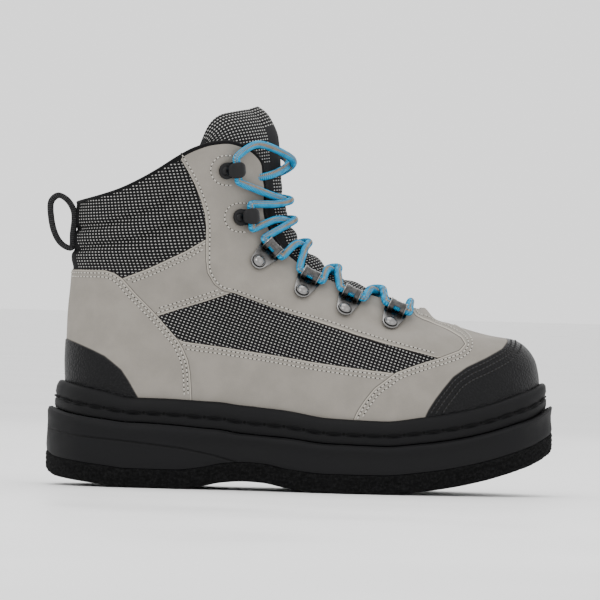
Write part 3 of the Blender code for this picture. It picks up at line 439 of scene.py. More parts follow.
# Lacing hardware on each side: name, rivet station and rise, loop station and rise
RING_PLACES = (
    ("1", 0.406, 0.553, 0.435, 0.606),
    ("2", 0.493, 0.441, 0.513, 0.510),
    ("3", 0.577, 0.376, 0.595, 0.451),
    ("4", 0.666, 0.328, 0.684, 0.397),
)
HOOK_PLACES = (
    # name, station, rise
    ("1", 0.347, 0.889),
    ("2", 0.376, 0.720),
)
CREST_LEVELS = (8.0, 9.2, 10.4, 11.5, 12.4)
LACE_GUIDES = (
    # share of its way across, share of its rise, lift over the upper
    (0.22, 0.80, 1.1),
    (0.50, 1.00, 0.3),
    (0.78, 0.80, 1.1),
)
TOP_GUIDES = (
    # station, rise, 1 on its own side and -1 across, lift over the upper
    (0.395, 0.985, 1, 2.2),
    (0.445, 0.945, 1, 1.4),
    (0.452, 0.915, -1, 1.4),
    (0.425, 0.880, -1, 1.4),
    (0.400, 0.862, -1, -4.0),
)
BAR_LEVEL = 7.3
STRIPE_WAY = (0.18, 0.24)           # how far the lace's stripe faces forwards and up, next to sideways
STRIPE_TURN = 6.0 * MM              # distance from the boot's middle over which it turns sideways
LACE_STEP = 0.5 * MM
LACE_EASE = 2.0 * MM
LACE_RUN = 0.4 * LACE_DIAMETER      # straight run of the lace out of each mouth
LACE_RIB = 1.1 * MM
LACE_OVER = 0.48            # at a crossing, how far each strand moves off the pad, in lace diameters
LACE_UNDER = -0.38
LACE_ASIDE = 0.6 * LACE_DIAMETER    # how far the inner half's last bend stands over the other's

# Rings and hooks
RIVET_DOME = (
    # radius and height in mm, for a rivet of the radius below
    (0.0, 2.25), (1.1, 2.15), (2.1, 1.75), (2.75, 1.15),
    (2.95, 0.75), (3.35, 0.70), (3.6, 0.35), (3.7, -0.2),
)
RIVET_DOME_RADIUS = 3.35
CHEEK = ((0.35, 0.0), (0.5, 0.4), (0.0, 0.9), (0.0, 3.0))   # out of the shell and in from its end, in mm
CHEEK_DEPTH = 3.2 * MM
HOOK_DOME = ((0.0, 1.5), (1.2, 1.35), (2.0, 0.9), (2.5, 0.3), (2.6, -0.3))
HOOK_BASE_GAUGE = 1.3 * RING_PLATE_GAUGE
HOOK_ARM_GAUGE = 0.85 * MM  # half of it
HOOK_ARM_LINE = (
    # shares of the base's half length and of the hook's rise
    (0.20, 0.14),
    (0.78, 0.16),
    (1.08, 0.34),
    (1.14, 0.60),
    (0.92, 0.86),
    (0.42, 0.96),
    (-0.10, 0.90),
    (-0.42, 0.72),
)
STRAP_SIDES = 16

# The pull loop: levels where it is sewn on, then its free middle line in side view
LOOP_LEVELS = (9.7, 10.8, 12.0)
LOOP_LINE = (
    # station, rise
    (0.0430, 0.738),
    (0.0310, 0.771),
    (0.0140, 0.787),
    (0.0010, 0.770),
    (-0.0020, 0.739),
    (0.0030, 0.677),
    (0.0130, 0.631),
    (0.0270, 0.604),
)
LOOP_SWELL = 1.75           # the webbing's loft over the plain ribbon
WEBBING_RIB = 1.15 * MM
LOOP_STEPS = 8
LOOP_EDGE = ((0.0, 0.4), (0.5, 1.0), (1.6, 0.72))     # in from the ribbon's edge in mm, share of its gauge

# Searches
HALVINGS = 26               # rounds of each search for a level

# Light, floor and camera
WORLD_LIGHT = 1.55
LIGHTS = (
    # name, place, size, watts
    ("key", (-0.5, -1.4, 1.3), 0.8, 9.0),
    ("fill", (1.2, -1.1, 0.7), 1.0, 2.5),
    ("top", (0.1, 0.2, 1.6), 1.0, 7.0),
    ("rear", (0.2, 1.5, 0.9), 1.0, 4.0),
)
BOOT_MIDDLE = (0.08, 0.0, 0.09)
CAMERA_LENS = 400.0
FRAME_WIDTH = 0.3415        # what the frame spans where the outer side's outline lies
FRAME_PLANE = -0.010
FRAME_MIDDLE = (0.07915, 0.1084)
SENSOR_WIDTH = 36.0
FLOOR_REACH = 40.0
FLOOR_DROP = 0.05 * MM


def between(rows, at, column):
    """Read a table's column at values of its first column, along a smooth curve with no overshoot."""
    table = np.array(rows, float)
    keys, values = table[:, 0], table[:, column]
    secants = np.diff(values) / np.diff(keys)
    before, after = secants[:-1], secants[1:]
    same_way = before * after > 0
    bends = np.where(same_way, 2 * before * after / np.where(same_way, before + after, 1), 0)
    slopes = np.concatenate((secants[:1], bends, secants[-1:]))
    at = np.clip(np.asarray(at, float), keys[0], keys[-1])
    index = np.clip(np.searchsorted(keys, at, "right") - 1, 0, len(keys) - 2)
    width = keys[index + 1] - keys[index]
    share = (at - keys[index]) / width
    rise = values[index + 1] - values[index]
    start, end = slopes[index] * width - rise, rise - slopes[index + 1] * width
    return values[index] + rise * share + share * (1 - share) * ((1 - share) * start + share * end)


def along(station):
    """X of a station along the sole."""
    return np.asarray(station) * SOLE_LENGTH - HEEL_REACH


def station_of(x):
    """Station of an X along the sole."""
    return np.clip((np.asarray(x) + HEEL_REACH) / SOLE_LENGTH, 0.0, 1.0)


def above_seat(rise):
    """Z of a rise on the upper."""
    return SEAT + np.asarray(rise) * UPPER_HEIGHT


def tread(x):
    """Z of the felt's underside."""
    return between(SOLE_ROWS, station_of(x), 1) * TOE_SPRING


def felt_top(x):
    """Z of the felt's upper face."""
    return tread(x) + FELT_THICKNESS


def ledge(x):
    """Z of the midsole's upper face."""
    return felt_top(x) + between(SOLE_ROWS, station_of(x), 2) * MIDSOLE_HEEL


def cup_top(x):
    """Z of the cupsole's top edge."""
    return ledge(x) + between(SOLE_ROWS, station_of(x), 3) * CUP_HEIGHT


def deck(x):
    """Z of the floor inside the upper."""
    return ledge(x) + CUP_FLOOR


def ring_ends(level):
    """Back and front X of the last's ring at a level."""
    return along(between(RING_ROWS, level, 1)), along(between(RING_ROWS, level, 2))


def bare_skin(turn, level):
    """Points of the upper's outer face. Turn 0 is the front, pi the back, minus is the outer side."""
    turn, level = np.broadcast_arrays(np.asarray(turn, float), np.asarray(level, float))
    back, front = ring_ends(level)
    back_z = above_seat(between(RING_ROWS, level, 3))
    front_z = above_seat(between(RING_ROWS, level, 4))
    lean = np.clip((level - LEAN_FROM) / LEAN_LEVELS, 0, 1)
    full = BALL_WIDTH * (1 - lean) + SHAFT_WIDTH / SHAFT_SHARE * lean
    half = between(RING_ROWS, level, 5) * full / 2
    floor = between(RING_ROWS, level, 6)
    shaft = between(RING_ROWS, level, 7)
    share = (1 + np.cos(turn)) / 2
    x = back + (front - back) * share
    line = deck(back) + (deck(front) - deck(back)) * share
    z = back_z + (front_z - back_z) * share + floor * (deck(x) - line)
    z = np.where(level < 1, deck(x) + (z - deck(x)) * level, z)
    outer, inner = between(FOOT_ROWS, share, 1), between(FOOT_ROWS, share, 2)
    foot = np.where(np.sin(turn) < 0, outer, inner)
    swell = foot + (between(SHAFT_ROWS, share, 1) - foot) * shaft
    bow = between(FOOT_ROWS, share, 3) * (1 - shaft) * BALL_WIDTH / 2
    return np.stack((x, bow + np.sin(turn) * half * swell, z), axis=-1)


def outward(turn, level):
    """The ways out of the upper's outer face."""
    turn, level = np.broadcast_arrays(np.asarray(turn, float), np.asarray(level, float))
    step_turn, step_level = 0.01, 0.02
    around = bare_skin(turn + step_turn, level) - bare_skin(turn - step_turn, level)
    above = np.minimum(level + step_level, TOP_LEVEL)
    upward = bare_skin(turn, above) - bare_skin(turn, np.maximum(level - step_level, 0))
    out = np.cross(around, upward)
    return out / np.linalg.norm(out, axis=-1, keepdims=True)


def skin(turn, level, proud=0.0):
    """Points that stand proud of the upper's outer face."""
    return bare_skin(turn, level) + outward(turn, level) * np.asarray(proud)[..., None]


def turn_at(x, level, side):
    """Turn where a level's ring reaches an X."""
    back, front = ring_ends(level)
    share = np.clip((x - back) / (front - back), 0, 1)
    return side * np.arccos(2 * share - 1)


def halved(low, high, is_above):
    """Close in on the lowest levels between two bounds that pass a test."""
    for _ in range(HALVINGS):
        middle = (low + high) / 2
        above = is_above(middle)
        high = np.where(above, middle, high)
        low = np.where(above, low, middle)
    return high


def place_xz(x, z, side):
    """Turn and level of spots given by X and Z in side view. Side is -1 for the outer side."""
    x, z = np.broadcast_arrays(np.asarray(x, float), np.asarray(z, float))
    level = halved(np.zeros(x.shape), np.full(x.shape, TOP_LEVEL - 0.1),
                   lambda level: bare_skin(turn_at(x, level, side), level)[..., 2] > z)
    return turn_at(x, level, side), level


def place(station, rise, side):
    """Turn and level of spots given by station and rise in side view."""
    return place_xz(along(station), above_seat(rise), side)


def level_where(turn, is_above, low, high):
    """Level at which each turn's line up the upper first passes a test."""
    return halved(np.full(turn.shape, float(low)), np.full(turn.shape, float(high)),
                  lambda level: is_above(bare_skin(turn, level)))


def photo_place(pixels):
    """X and Z of photo pixels at the boot's side."""
    spots = np.array(pixels, float) - HEEL_PIXEL
    across, down = spots[:, 0], spots[:, 1]
    turn_c, turn_s = math.cos(CAMERA_ROLL), math.sin(CAMERA_ROLL)
    x = (across * turn_c + down * turn_s) * PIXEL
    z = (across * turn_s - down * turn_c) * PIXEL
    return np.stack((x, z), axis=-1)


def side_view(outline):
    """X and Z of an outline given in stations and rises."""
    spots = np.array(outline, float)
    return np.stack((along(spots[:, 0]), above_seat(spots[:, 1])), axis=-1)


def line_distance(points, line, closed):
    """Distance in side view from each point to a line."""
    nearest = np.full(len(points), 1e9)
    count = len(line) if closed else len(line) - 1
    for index in range(count):
        start, end = line[index], line[(index + 1) % len(line)]
        run = end - start
        share = np.clip(((points - start) @ run) / max(run @ run, 1e-12), 0, 1)
        gap = np.linalg.norm(points - start - share[:, None] * run, axis=1)
        nearest = np.minimum(nearest, gap)
    return nearest


def panel_depth(points, outline):
    """How far inside an outline each point lies in side view, minus outside it."""
    inside = np.zeros(len(points), bool)
    for index in range(len(outline)):
        start, end = outline[index], outline[(index + 1) % len(outline)]
        crosses = (start[1] > points[:, 1]) != (end[1] > points[:, 1])
        fall = end[1] - start[1]
        meets = start[0] + (points[:, 1] - start[1]) * (end[0] - start[0]) / (fall if fall else 1e-9)
        inside ^= crosses & (points[:, 0] < meets)
    return np.where(inside, 1, -1) * line_distance(points, outline, True)


def ramp(value, low, high):
    """Smooth step from 0 to 1."""
    share = np.clip((value - low) / (high - low), 0, 1)
    return share * share * (3 - 2 * share)


def rounded(line, count):
    """A line drawn out along a smooth curve through its points, in so many steps from each to the next."""
    spots = np.array(line, float)
    padded = np.vstack((2 * spots[0] - spots[1], spots, 2 * spots[-1] - spots[-2]))
    steps = np.linspace(0, 1, count, endpoint=False)[:, None]
    pieces = []
    for index in range(1, len(padded) - 2):
        first, second, third, fourth = padded[index - 1:index + 3]
        pull = (third - first) * steps + (2 * first - 5 * second + 4 * third - fourth) * steps ** 2
        pull = pull + (3 * second - first - 3 * third + fourth) * steps ** 3
        pieces.append(second + pull / 2)
    return np.vstack(pieces + [spots[-1:]])


def run_lengths(line):
    """Distance along a line at each of its points."""
    return np.concatenate(([0], np.cumsum(np.linalg.norm(np.diff(line, axis=0), axis=1))))


def read_along(runs, values, at):
    """Values of a line of points at distances along it."""
    return np.column_stack([np.interp(at, runs, values[:, axis]) for axis in range(values.shape[1])])


def unit(vectors):
    """Vectors of length one."""
    return vectors / np.maximum(np.linalg.norm(vectors, axis=-1, keepdims=True), 1e-9)


def linked(name, data):
    """A new object in the scene."""
    piece = bpy.data.objects.new(name, data)
    bpy.context.scene.collection.objects.link(piece)
    return piece


def make_piece(name, mesh, material, node_names=()):
    """Link a mesh as a piece of the boot that stands for the given nodes."""
    piece = linked(name, mesh)
    piece.data.materials.append(material)
    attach(piece, "root")
    if node_names:
        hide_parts(*node_names)
    return piece


def mesh_of(name, points, faces, smooth=40):
    """A mesh from points and faces, smooth but for edges sharper than an angle in degrees."""
    mesh = bpy.data.meshes.new(name)
    mesh.from_pydata([tuple(point) for point in points], [], faces)
    mesh.validate()
    mesh.shade_smooth()
    mesh.set_sharp_from_angle(angle=math.radians(smooth))
    return mesh


def weld(mesh):
    """Merge the points of a mesh that lie in one place."""
    builder = bmesh.new()
    builder.from_mesh(mesh)
    bmesh.ops.remove_doubles(builder, verts=builder.verts, dist=0.002 * MM)
    builder.to_mesh(mesh)
    builder.free()


def grid_faces(rows, columns, closed=False, first=0):
    """Quads of a grid of vertices laid out row by row."""
    steps = columns if closed else columns - 1
    low = np.arange(rows - 1)[:, None] * columns
    left = np.arange(steps)[None, :]
    right = (left + 1) % columns
    quads = np.stack((low + left, low + right, low + columns + right, low + columns + left), axis=-1)
    return (quads.reshape(-1, 4) + first).tolist()


def cap_faces(ring, flip=False):
    """Strips that close a ring of vertex numbers from one side to the other."""
    half = len(ring) // 2
    faces = [(ring[0], ring[1], ring[-1])]
    for index in range(1, half - 1):
        faces.append((ring[index], ring[index + 1], ring[-index - 1], ring[-index]))
    faces.append((ring[half - 1], ring[half], ring[half + 1]))
    return [face[::-1] for face in faces] if flip else faces


def closed_faces(rows, columns):
    """Faces round rows of vertices, with a cap on the first row and on the last."""
    faces = grid_faces(rows, columns, closed=True) + cap_faces(list(range(columns)), flip=True)
    last = (rows - 1) * columns
    return faces + cap_faces(list(range(last, last + columns)))


def add_values(mesh, **values):
    """Store one number for each vertex under a name that a material can read."""
    for name, numbers in values.items():
        layer = mesh.attributes.new(name, "FLOAT", "POINT")
        layer.data.foreach_set("value", np.asarray(numbers, np.float32))


class Finish:
    """A procedural material, built up from short node calls."""

    def __init__(self, name, colour, roughness, metallic=0.0, sheen=0.0, gloss=0.3):
        self.material = bpy.data.materials.new(name)
        self.material.use_nodes = True
        self.tree = self.material.node_tree
        self.shader = self.tree.nodes["Principled BSDF"]
        names = ("Base Color", "Roughness", "Metallic", "Sheen Weight", "Specular IOR Level")
        for name, value in zip(names, (colour, roughness, metallic, sheen, gloss)):
            self.feed(self.shader.inputs[name], value)
        self.spot = self.tree.nodes.new("ShaderNodeTexCoord").outputs["Object"]

    def feed(self, socket, value):
        """Link a socket to another, or set its value."""
        if isinstance(value, bpy.types.NodeSocket):
            self.tree.links.new(value, socket)
        elif isinstance(value, tuple) and socket.type == "RGBA":
            socket.default_value = (*value, 1)
        else:
            socket.default_value = value

    def math(self, operation, first, second=0.0):
        """A sum or function of one or two values."""
        node = self.tree.nodes.new("ShaderNodeMath")
        node.operation = operation
        for socket, value in zip(node.inputs, (first, second)):
            self.feed(socket, value)
        return node.outputs[0]

    def times(self, first, second):
        """One value times another."""
        return self.math("MULTIPLY", first, second)

    def value(self, name):
        """A number stored for each vertex."""
        node = self.tree.nodes.new("ShaderNodeAttribute")
        node.attribute_name = name
        return node.outputs["Fac"]

    def step(self, value, low, high, start=0.0, end=1.0):
        """A smooth step of a value between two limits."""
        node = self.tree.nodes.new("ShaderNodeMapRange")
        node.interpolation_type = "SMOOTHSTEP"
        names = ("Value", "From Min", "From Max", "To Min", "To Max")
        for name, number in zip(names, (value, low, high, start, end)):
            self.feed(node.inputs[name], number)
        return node.outputs[0]

    def mix(self, share, first, second):
        """One colour over another."""
        node = self.tree.nodes.new("ShaderNodeMix")
        node.data_type = "RGBA"
        self.feed(node.inputs[0], share)
        self.feed(node.inputs[6], first)
        self.feed(node.inputs[7], second)
        return node.outputs[2]

    def noise(self, size, detail=3.0, rough=0.55, stretch=(1, 1, 1)):
        """Noise whose lumps are about a size in metres across, from 0 to 1."""
        scaled = self.tree.nodes.new("ShaderNodeMapping")
        self.feed(scaled.inputs["Vector"], self.spot)
        scaled.inputs["Scale"].default_value = stretch
        node = self.tree.nodes.new("ShaderNodeTexNoise")
        self.feed(node.inputs["Vector"], scaled.outputs[0])
        node.inputs["Scale"].default_value = 1 / size
        node.inputs["Detail"].default_value = detail
        node.inputs["Roughness"].default_value = rough
        return node.outputs["Fac"]

    def cells(self, size):
        """Distance from the middle of cells about a size in metres across."""
        node = self.tree.nodes.new("ShaderNodeTexVoronoi")
        self.feed(node.inputs["Vector"], self.spot)
        node.inputs["Scale"].default_value = 1 / size
        return node.outputs["Distance"]

    def bump(self, height, depth, strength=1.0, over=None):
        """Relief of a depth in metres from a height between 0 and 1."""
        node = self.tree.nodes.new("ShaderNodeBump")
        node.inputs["Distance"].default_value = depth
        node.inputs["Strength"].default_value = strength
        self.feed(node.inputs["Height"], height)
        if over:
            self.feed(node.inputs["Normal"], over)
        return node.outputs[0]

    def set(self, **inputs):
        """Feed the shader's own sockets, named in lower case."""
        names = {"colour": "Base Color", "roughness": "Roughness", "normal": "Normal"}
        for name, value in inputs.items():
            self.feed(self.shader.inputs[names[name]], value)
        return self


def weave(finish):
    """Off-white dashes in rows on black, by the stored lengths across and up: how white each spot is."""
    reach = 0.0
    for name, pitch, half in (("across", DASH_PITCH, DASH_WIDE), ("up", DASH_ROWS, DASH_HIGH)):
        share = finish.math("FRACT", finish.math("DIVIDE", finish.value(name), pitch))
        from_middle = finish.math("SUBTRACT", share, 0.5)
        share = finish.math("ABSOLUTE", finish.math("DIVIDE", from_middle, half))
        reach = finish.math("ADD", reach, finish.math("POWER", share, DASH_CORNER))
    return finish.step(reach, *DASH_EDGE)


def upper_material():
    """Mesh under gray and black leather panels, each with its paler cut edge, partly a painted highlight
    along its rim, and the shade beside it.
    """
    finish = Finish("boot_panels", GRAY, 0.8, gloss=0.14)
    white = weave(finish)
    patch = finish.step(finish.noise(0.9 * MM, 2), 0.2, 0.7, 0.55, 1.0)
    strip = finish.step(finish.value("strip"), -0.2 * MM, 0.2 * MM)
    colour = finish.mix(finish.times(white, patch), MESH_BLACK, MESH_WHITE)
    colour = finish.mix(strip, colour, BLACK)
    grain = finish.noise(0.55 * MM, 4, 0.65)
    pebbles = finish.cells(1.25 * MM)
    gray = finish.mix(finish.step(finish.noise(14 * MM, 3), 0.3, 0.7), GRAY_DARK, GRAY)
    gray = finish.mix(finish.times(finish.step(grain, 0.45, 0.8), 0.22), gray, GRAY_PALE)
    black = finish.mix(finish.step(pebbles, 0.0, 0.7), BLACK_PALE, BLACK)
    kinds = {False: (gray, CUT_EDGE_AND_RIM_HIGHLIGHT), True: (black, BLACK_EDGE)}
    height = 0.0
    covered = {False: 0.0, True: 0.0}
    for name, _, thick in PANELS:
        depth = finish.value("in_" + name)
        is_black = name in ("toe", "counter")
        face, edge = kinds[is_black]
        outside = finish.math("LESS_THAN", depth, 0.0)
        shade = finish.times(finish.step(depth, -0.75 * MM, -0.05 * MM), outside)
        colour = finish.mix(finish.times(shade, 0.8), colour, SHADE)
        inside = finish.step(depth, -0.06 * MM, 0.06 * MM)
        # rim: the leather's paler cut edge, partly a painted highlight where the edge's step meets the
        # light
        rim = finish.step(depth, 0.80 * MM, 0.2 * MM)
        colour = finish.mix(inside, colour, finish.mix(finish.times(rim, 0.75), face, edge))
        height = finish.math("MAXIMUM", height, finish.times(inside, thick))
        covered[is_black] = finish.math("MAXIMUM", covered[is_black], inside)
    leather, hide = covered[False], covered[True]
    bare = finish.math("SUBTRACT", 1.0, finish.math("MAXIMUM", leather, hide))
    bare = finish.times(bare, finish.math("SUBTRACT", 1.0, strip))
    relief = finish.bump(finish.times(finish.times(white, 0.45), bare), 0.7 * MM)
    relief = finish.bump(finish.times(grain, leather), 0.10 * MM, 0.8, relief)
    relief = finish.bump(finish.times(pebbles, hide), 0.35 * MM, 0.9, relief)
    relief = finish.bump(height, 0.55 * MM, 0.8, relief)
    rough = finish.math("SUBTRACT", finish.step(grain, 0.3, 0.7, 0.88, 0.74), finish.times(hide, 0.36))
    return finish.set(colour=colour, roughness=rough, normal=relief).material


def arc_lengths(points, axis):
    """Running length along each line of a grid of points."""
    steps = np.linalg.norm(np.diff(points, axis=axis), axis=-1)
    total = np.cumsum(steps, axis=axis)
    pad = [(0, 0), (0, 0)]
    pad[axis] = (1, 0)
    return np.pad(total, pad)


def across_from_middle(points):
    """Length along each row of a grid of points, counted from its middle."""
    across = arc_lengths(points, 1)
    middle = points.shape[1] // 2
    return across - across[:, middle:middle + 1] + WEAVE_START


def collar_limit(turn):
    """Level of the collar's edge for each turn."""
    def above(points):
        edge = above_seat(between(COLLAR_ROWS, station_of(points[..., 0]), 1)) - BINDING_ROOM
        return points[..., 2] > edge
    return level_where(turn, above, 11.0, 15.5)


def throat_turn(level):
    """The throat's half angle at a level."""
    return np.radians(between(THROAT_ROWS, level, 1))


def upper_grid(columns, rows):
    """Turn and level of a grid over the upper, from the sole's band to the collar's edge."""
    share = np.linspace(0, 1, columns)
    tops = np.array(14.0)
    for _ in range(5):
        edge = throat_turn(tops)
        tops = collar_limit(edge + (2 * math.pi - 2 * edge) * share)
    rise = np.linspace(0, 1, rows)[:, None]
    level = UPPER_FOOT + (tops[None, :] - UPPER_FOOT) * rise
    edge = throat_turn(level)
    return edge + (2 * math.pi - 2 * edge) * share[None, :], level


def hump(points, x, length, width):
    """A rounded rise across the vamp, from 0 to 1 at its top."""
    return np.exp(-((points[..., 0] - x) / length) ** 2 - (points[..., 1] / width) ** 2)


def trough(spots, line, half):
    """A rounded furrow along a line in side view, from 0 to 1 at its bottom."""
    return np.exp(-(line_distance(spots, line, False) / half) ** 2)


def relief_of(points):
    """Depth inside each panel, and how far leather, padding and creases stand proud of the bare skin."""
    spots = points[:, [0, 2]]
    depths = {name: panel_depth(spots, side_view(outline)) for name, outline, _ in PANELS}
    proud = np.zeros(len(spots))
    for name, _, thick in PANELS:
        proud = np.maximum(proud, thick * MM * ramp(depths[name], -PANEL_EDGE, PANEL_EDGE))
    bare = ramp(-np.max(list(depths.values()), axis=0), *PADDING_EDGE)
    collar = bare * ramp((spots[:, 1] - SEAT) / UPPER_HEIGHT, *COLLAR_RISES)
    proud = proud + COLLAR_PUFF * collar
    for channel in CHANNELS:
        proud = proud - CHANNEL_DEPTH * collar * trough(spots, photo_place(channel), CHANNEL_HALF)
    proud = proud + LIP_RISE * hump(points, LIP_X, LIP_LENGTH, LIP_WIDTH)
    proud = proud - DIP_DEPTH * hump(points, DIP_X, DIP_LENGTH, DIP_WIDTH)
    for start, end, width, depth in CREASES:
        proud = proud + depth * MM * trough(spots, side_view((start, end)), width * MM)
    return depths, proud


def overhang(points):
    """How far the vamp's lip leans back over the throat's foot."""
    return LIP_OVERHANG * hump(points, LIP_X, LIP_LENGTH, LIP_WIDTH)


def top_rims(base, out, proud):
    """Rows that roll the top edge of the upper's face in over its wall."""
    rows = []
    for step in range(1, RIM_STEPS + 1):
        angle = math.pi / 2 * step / RIM_STEPS
        tuck = -(WALL + RIM_TUCK) * (1 - math.cos(angle))
        row = base[-1:] + out[-1:] * (proud[-1:, :, None] + tuck)
        rows.append(row + np.array((0, 0, RIM_LIFT * math.sin(angle))))
    return rows


def with_side_rims(points, out, level):
    """The face's points, with columns added that turn the throat's two edges in."""
    ways = out * ramp(level[:, :1], THROAT_POINT - 0.05, THROAT_POINT + 0.2)[..., None]
    ways = np.concatenate([ways] + [ways[-1:]] * RIM_STEPS, axis=0)
    tucks = [-(WALL + COVER_THICKNESS) * step / RIM_STEPS for step in range(1, RIM_STEPS + 1)]
    left = [points[:, :1] + ways[:, :1] * tuck for tuck in tucks[::-1]]
    right = [points[:, -1:] + ways[:, -1:] * tuck for tuck in tucks]
    return np.concatenate(left + [points] + right, axis=1)


def over_rims(values, level, rim=None):
    """Values of the face, carried on over its rolled rims or with one value of their own there."""
    grid = np.asarray(values).reshape(level.shape)
    top, left, right = grid[-1:], grid[:, :1], grid[:, -1:]
    if rim is not None:
        top = np.full(top.shape, rim)
        left, right = (np.where(level[:, :1] > BINDING_FOOT, rim, edge) for edge in (left, right))
    left, right = (np.concatenate([edge] + [top[:, :1]] * RIM_STEPS, axis=0) for edge in (left, right))
    grid = np.concatenate([grid] + [top] * RIM_STEPS, axis=0)
    return np.concatenate([left] * RIM_STEPS + [grid] + [right] * RIM_STEPS, axis=1).ravel()


def make_upper():
    """The whole outer face of the upper, with its panels' real relief and rolled edges."""
    turn, level = upper_grid(UPPER_COLUMNS, UPPER_ROWS)
    base = bare_skin(turn, level)
    flat = base.reshape(-1, 3)
    depths, proud = relief_of(flat)
    proud = proud.reshape(turn.shape)
    out = outward(turn, level)
    face = base + out * proud[..., None]
    face[..., 0] -= overhang(base)
    points = np.concatenate([face] + top_rims(base, out, proud), axis=0)
    points = with_side_rims(points, out, level)
    mesh = mesh_of("upper", points.reshape(-1, 3), grid_faces(*points.shape[:2]), 50)
    rise = (base[..., 2] - SEAT) / UPPER_HEIGHT
    up = base[..., 2] - base[..., 0] * between(WEAVE_TILTS, rise, 1)
    across = across_from_middle(base) + base[..., 2] * between(WEAVE_TILTS, rise, 2)
    at_back = (flat[:, 0] < 0) & (flat[:, 2] > above_seat(0.5))
    strip = np.where(at_back, STRIP_HALF - np.abs(flat[:, 1]), -1.0)
    add_values(mesh, across=over_rims(across, level), up=over_rims(up, level))
    add_values(mesh, strip=over_rims(strip, level, 1.0))
    for name, depth in depths.items():
        add_values(mesh, **{"in_" + name: over_rims(depth, level, -1.0)})
    weld(mesh)
    make_piece("upper_face", mesh, upper_material(),
               ("upper", "toe_cap", "heel_counter", "eyestay_outer", "eyestay_inner"))


def cloth_material(name, colour, thread, size):
    """Plain dark cloth with a fine crossed weave."""
    finish = Finish(name, colour, 0.95, sheen=0.05, gloss=0.12)
    fine = finish.noise(size, 3)
    long_way = finish.noise(size * 0.6, 1, 0.4, (1, 1, 4))
    colour = finish.mix(finish.step(fine, 0.4, 0.75), colour, thread)
    return finish.set(colour=colour, normal=finish.bump(long_way, 0.25 * MM, 0.8)).material


def make_lining():
    """The padded lining inside the upper."""
    turn, level = upper_grid(180, 90)
    points = skin(turn, level, -WALL - 0.3 * MM)
    faces = [face[::-1] for face in grid_faces(*turn.shape)]
    cloth = cloth_material("lining_cloth", LINING, LINING_THREAD, 0.7 * MM)
    make_piece("lining", mesh_of("lining", points.reshape(-1, 3), faces), cloth)


def margin_at(turn, heel, side, toe):
    """A sole step's stand-out at each turn."""
    back = ((1 - np.cos(turn)) / 2) ** 3
    front = ((1 + np.cos(turn)) / 2) ** 3
    return (side + (heel - side) * back + (toe - side) * front) * SOLE_MARGIN


def sole_outline(turn):
    """X and Y of the upper's foot at each turn, and the ways out of it."""
    around = bare_skin(turn + 0.01, 1.0) - bare_skin(turn - 0.01, 1.0)
    return bare_skin(turn, 1.0)[:, :2], unit(np.stack((around[:, 1], -around[:, 0]), axis=-1))


def sole_loops(steps, bottom, top, ripple=None):
    """A sole layer's outer loops, finely spaced between the rows of its table."""
    turn = np.linspace(0, 2 * math.pi, SOLE_COLUMNS, endpoint=False)
    base, out = sole_outline(turn)
    table = np.array(steps, float)
    rises = []
    for low, high in zip(table[:-1, 0], table[1:, 0]):
        count = max(int((high - low) / LOOP_SPACING), 1)
        rises += [low + (high - low) * step / count for step in range(count)]
    loops = []
    for rise in rises + [1.0]:
        heel, side, toe = (np.interp(rise, table[:, 0], table[:, column]) for column in (1, 2, 3))
        spot = base + out * margin_at(turn, heel, side, toe)[:, None]
        low, high = bottom(spot[:, 0]), top(spot[:, 0])
        if ripple is not None:
            spot = spot + out * ripple(turn, rise)[:, None]
        loops.append(np.column_stack((spot, low + (high - low) * rise)))
    return loops


def loops_mesh(name, loops, smooth=35):
    """A closed mesh from loops, one on the next, with both ends capped."""
    return mesh_of(name, np.concatenate(loops), closed_faces(len(loops), len(loops[0])), smooth)


def rubber_material(name, colour=RUBBER, rough=0.62, lined=False):
    """Matt moulded rubber, a little dusty on its high spots, with a moulded line where one is stored."""
    finish = Finish(name, colour, rough, gloss=0.14)
    broad = finish.noise(18 * MM, 3)
    tint = finish.mix(finish.step(broad, 0.35, 0.75), colour, tuple(value * 1.55 for value in colour))
    roughness = finish.step(broad, 0.3, 0.7, rough - 0.06, rough + 0.1)
    relief = finish.bump(finish.noise(0.45 * MM, 3), 0.12 * MM, 0.7)
    if lined:
        gap = finish.math("ABSOLUTE", finish.value("line"))
        # painted shade inside the moulded line's groove
        tint = finish.mix(finish.step(gap, LINE_EDGE, 0.1 * MM), tint, LINE_GROOVE_SHADE)
        relief = finish.bump(finish.step(gap, 0.0, 2 * LINE_EDGE), 0.7 * MM, 0.8, relief)
    return finish.set(colour=tint, roughness=roughness, normal=relief).material


def felt_material():
    """Dense black felt, matted and fibrous."""
    finish = Finish("felt_fibres", FELT, 1.0, gloss=0.15)
    clump = finish.noise(1.5 * MM, 5, 0.75)
    fibre = finish.noise(0.45 * MM, 4, 0.7, (1, 1, 2.5))
    colour = finish.mix(finish.step(clump, 0.42, 0.68), FELT_DARK, FELT_PALE)
    relief = finish.bump(clump, 1.1 * MM, 1.0)
    return finish.set(colour=colour, normal=finish.bump(fibre, 0.6 * MM, 0.9, relief)).material


def ragged(turn, rise):
    """The felt's cut side: fine bumps that don't repeat."""
    waves = (turn * 97 + rise * 21, turn * 151 - rise * 33 + 1.3, turn * 43 + rise * 57)
    return sum(np.sin(wave) for wave in waves) * RIPPLE


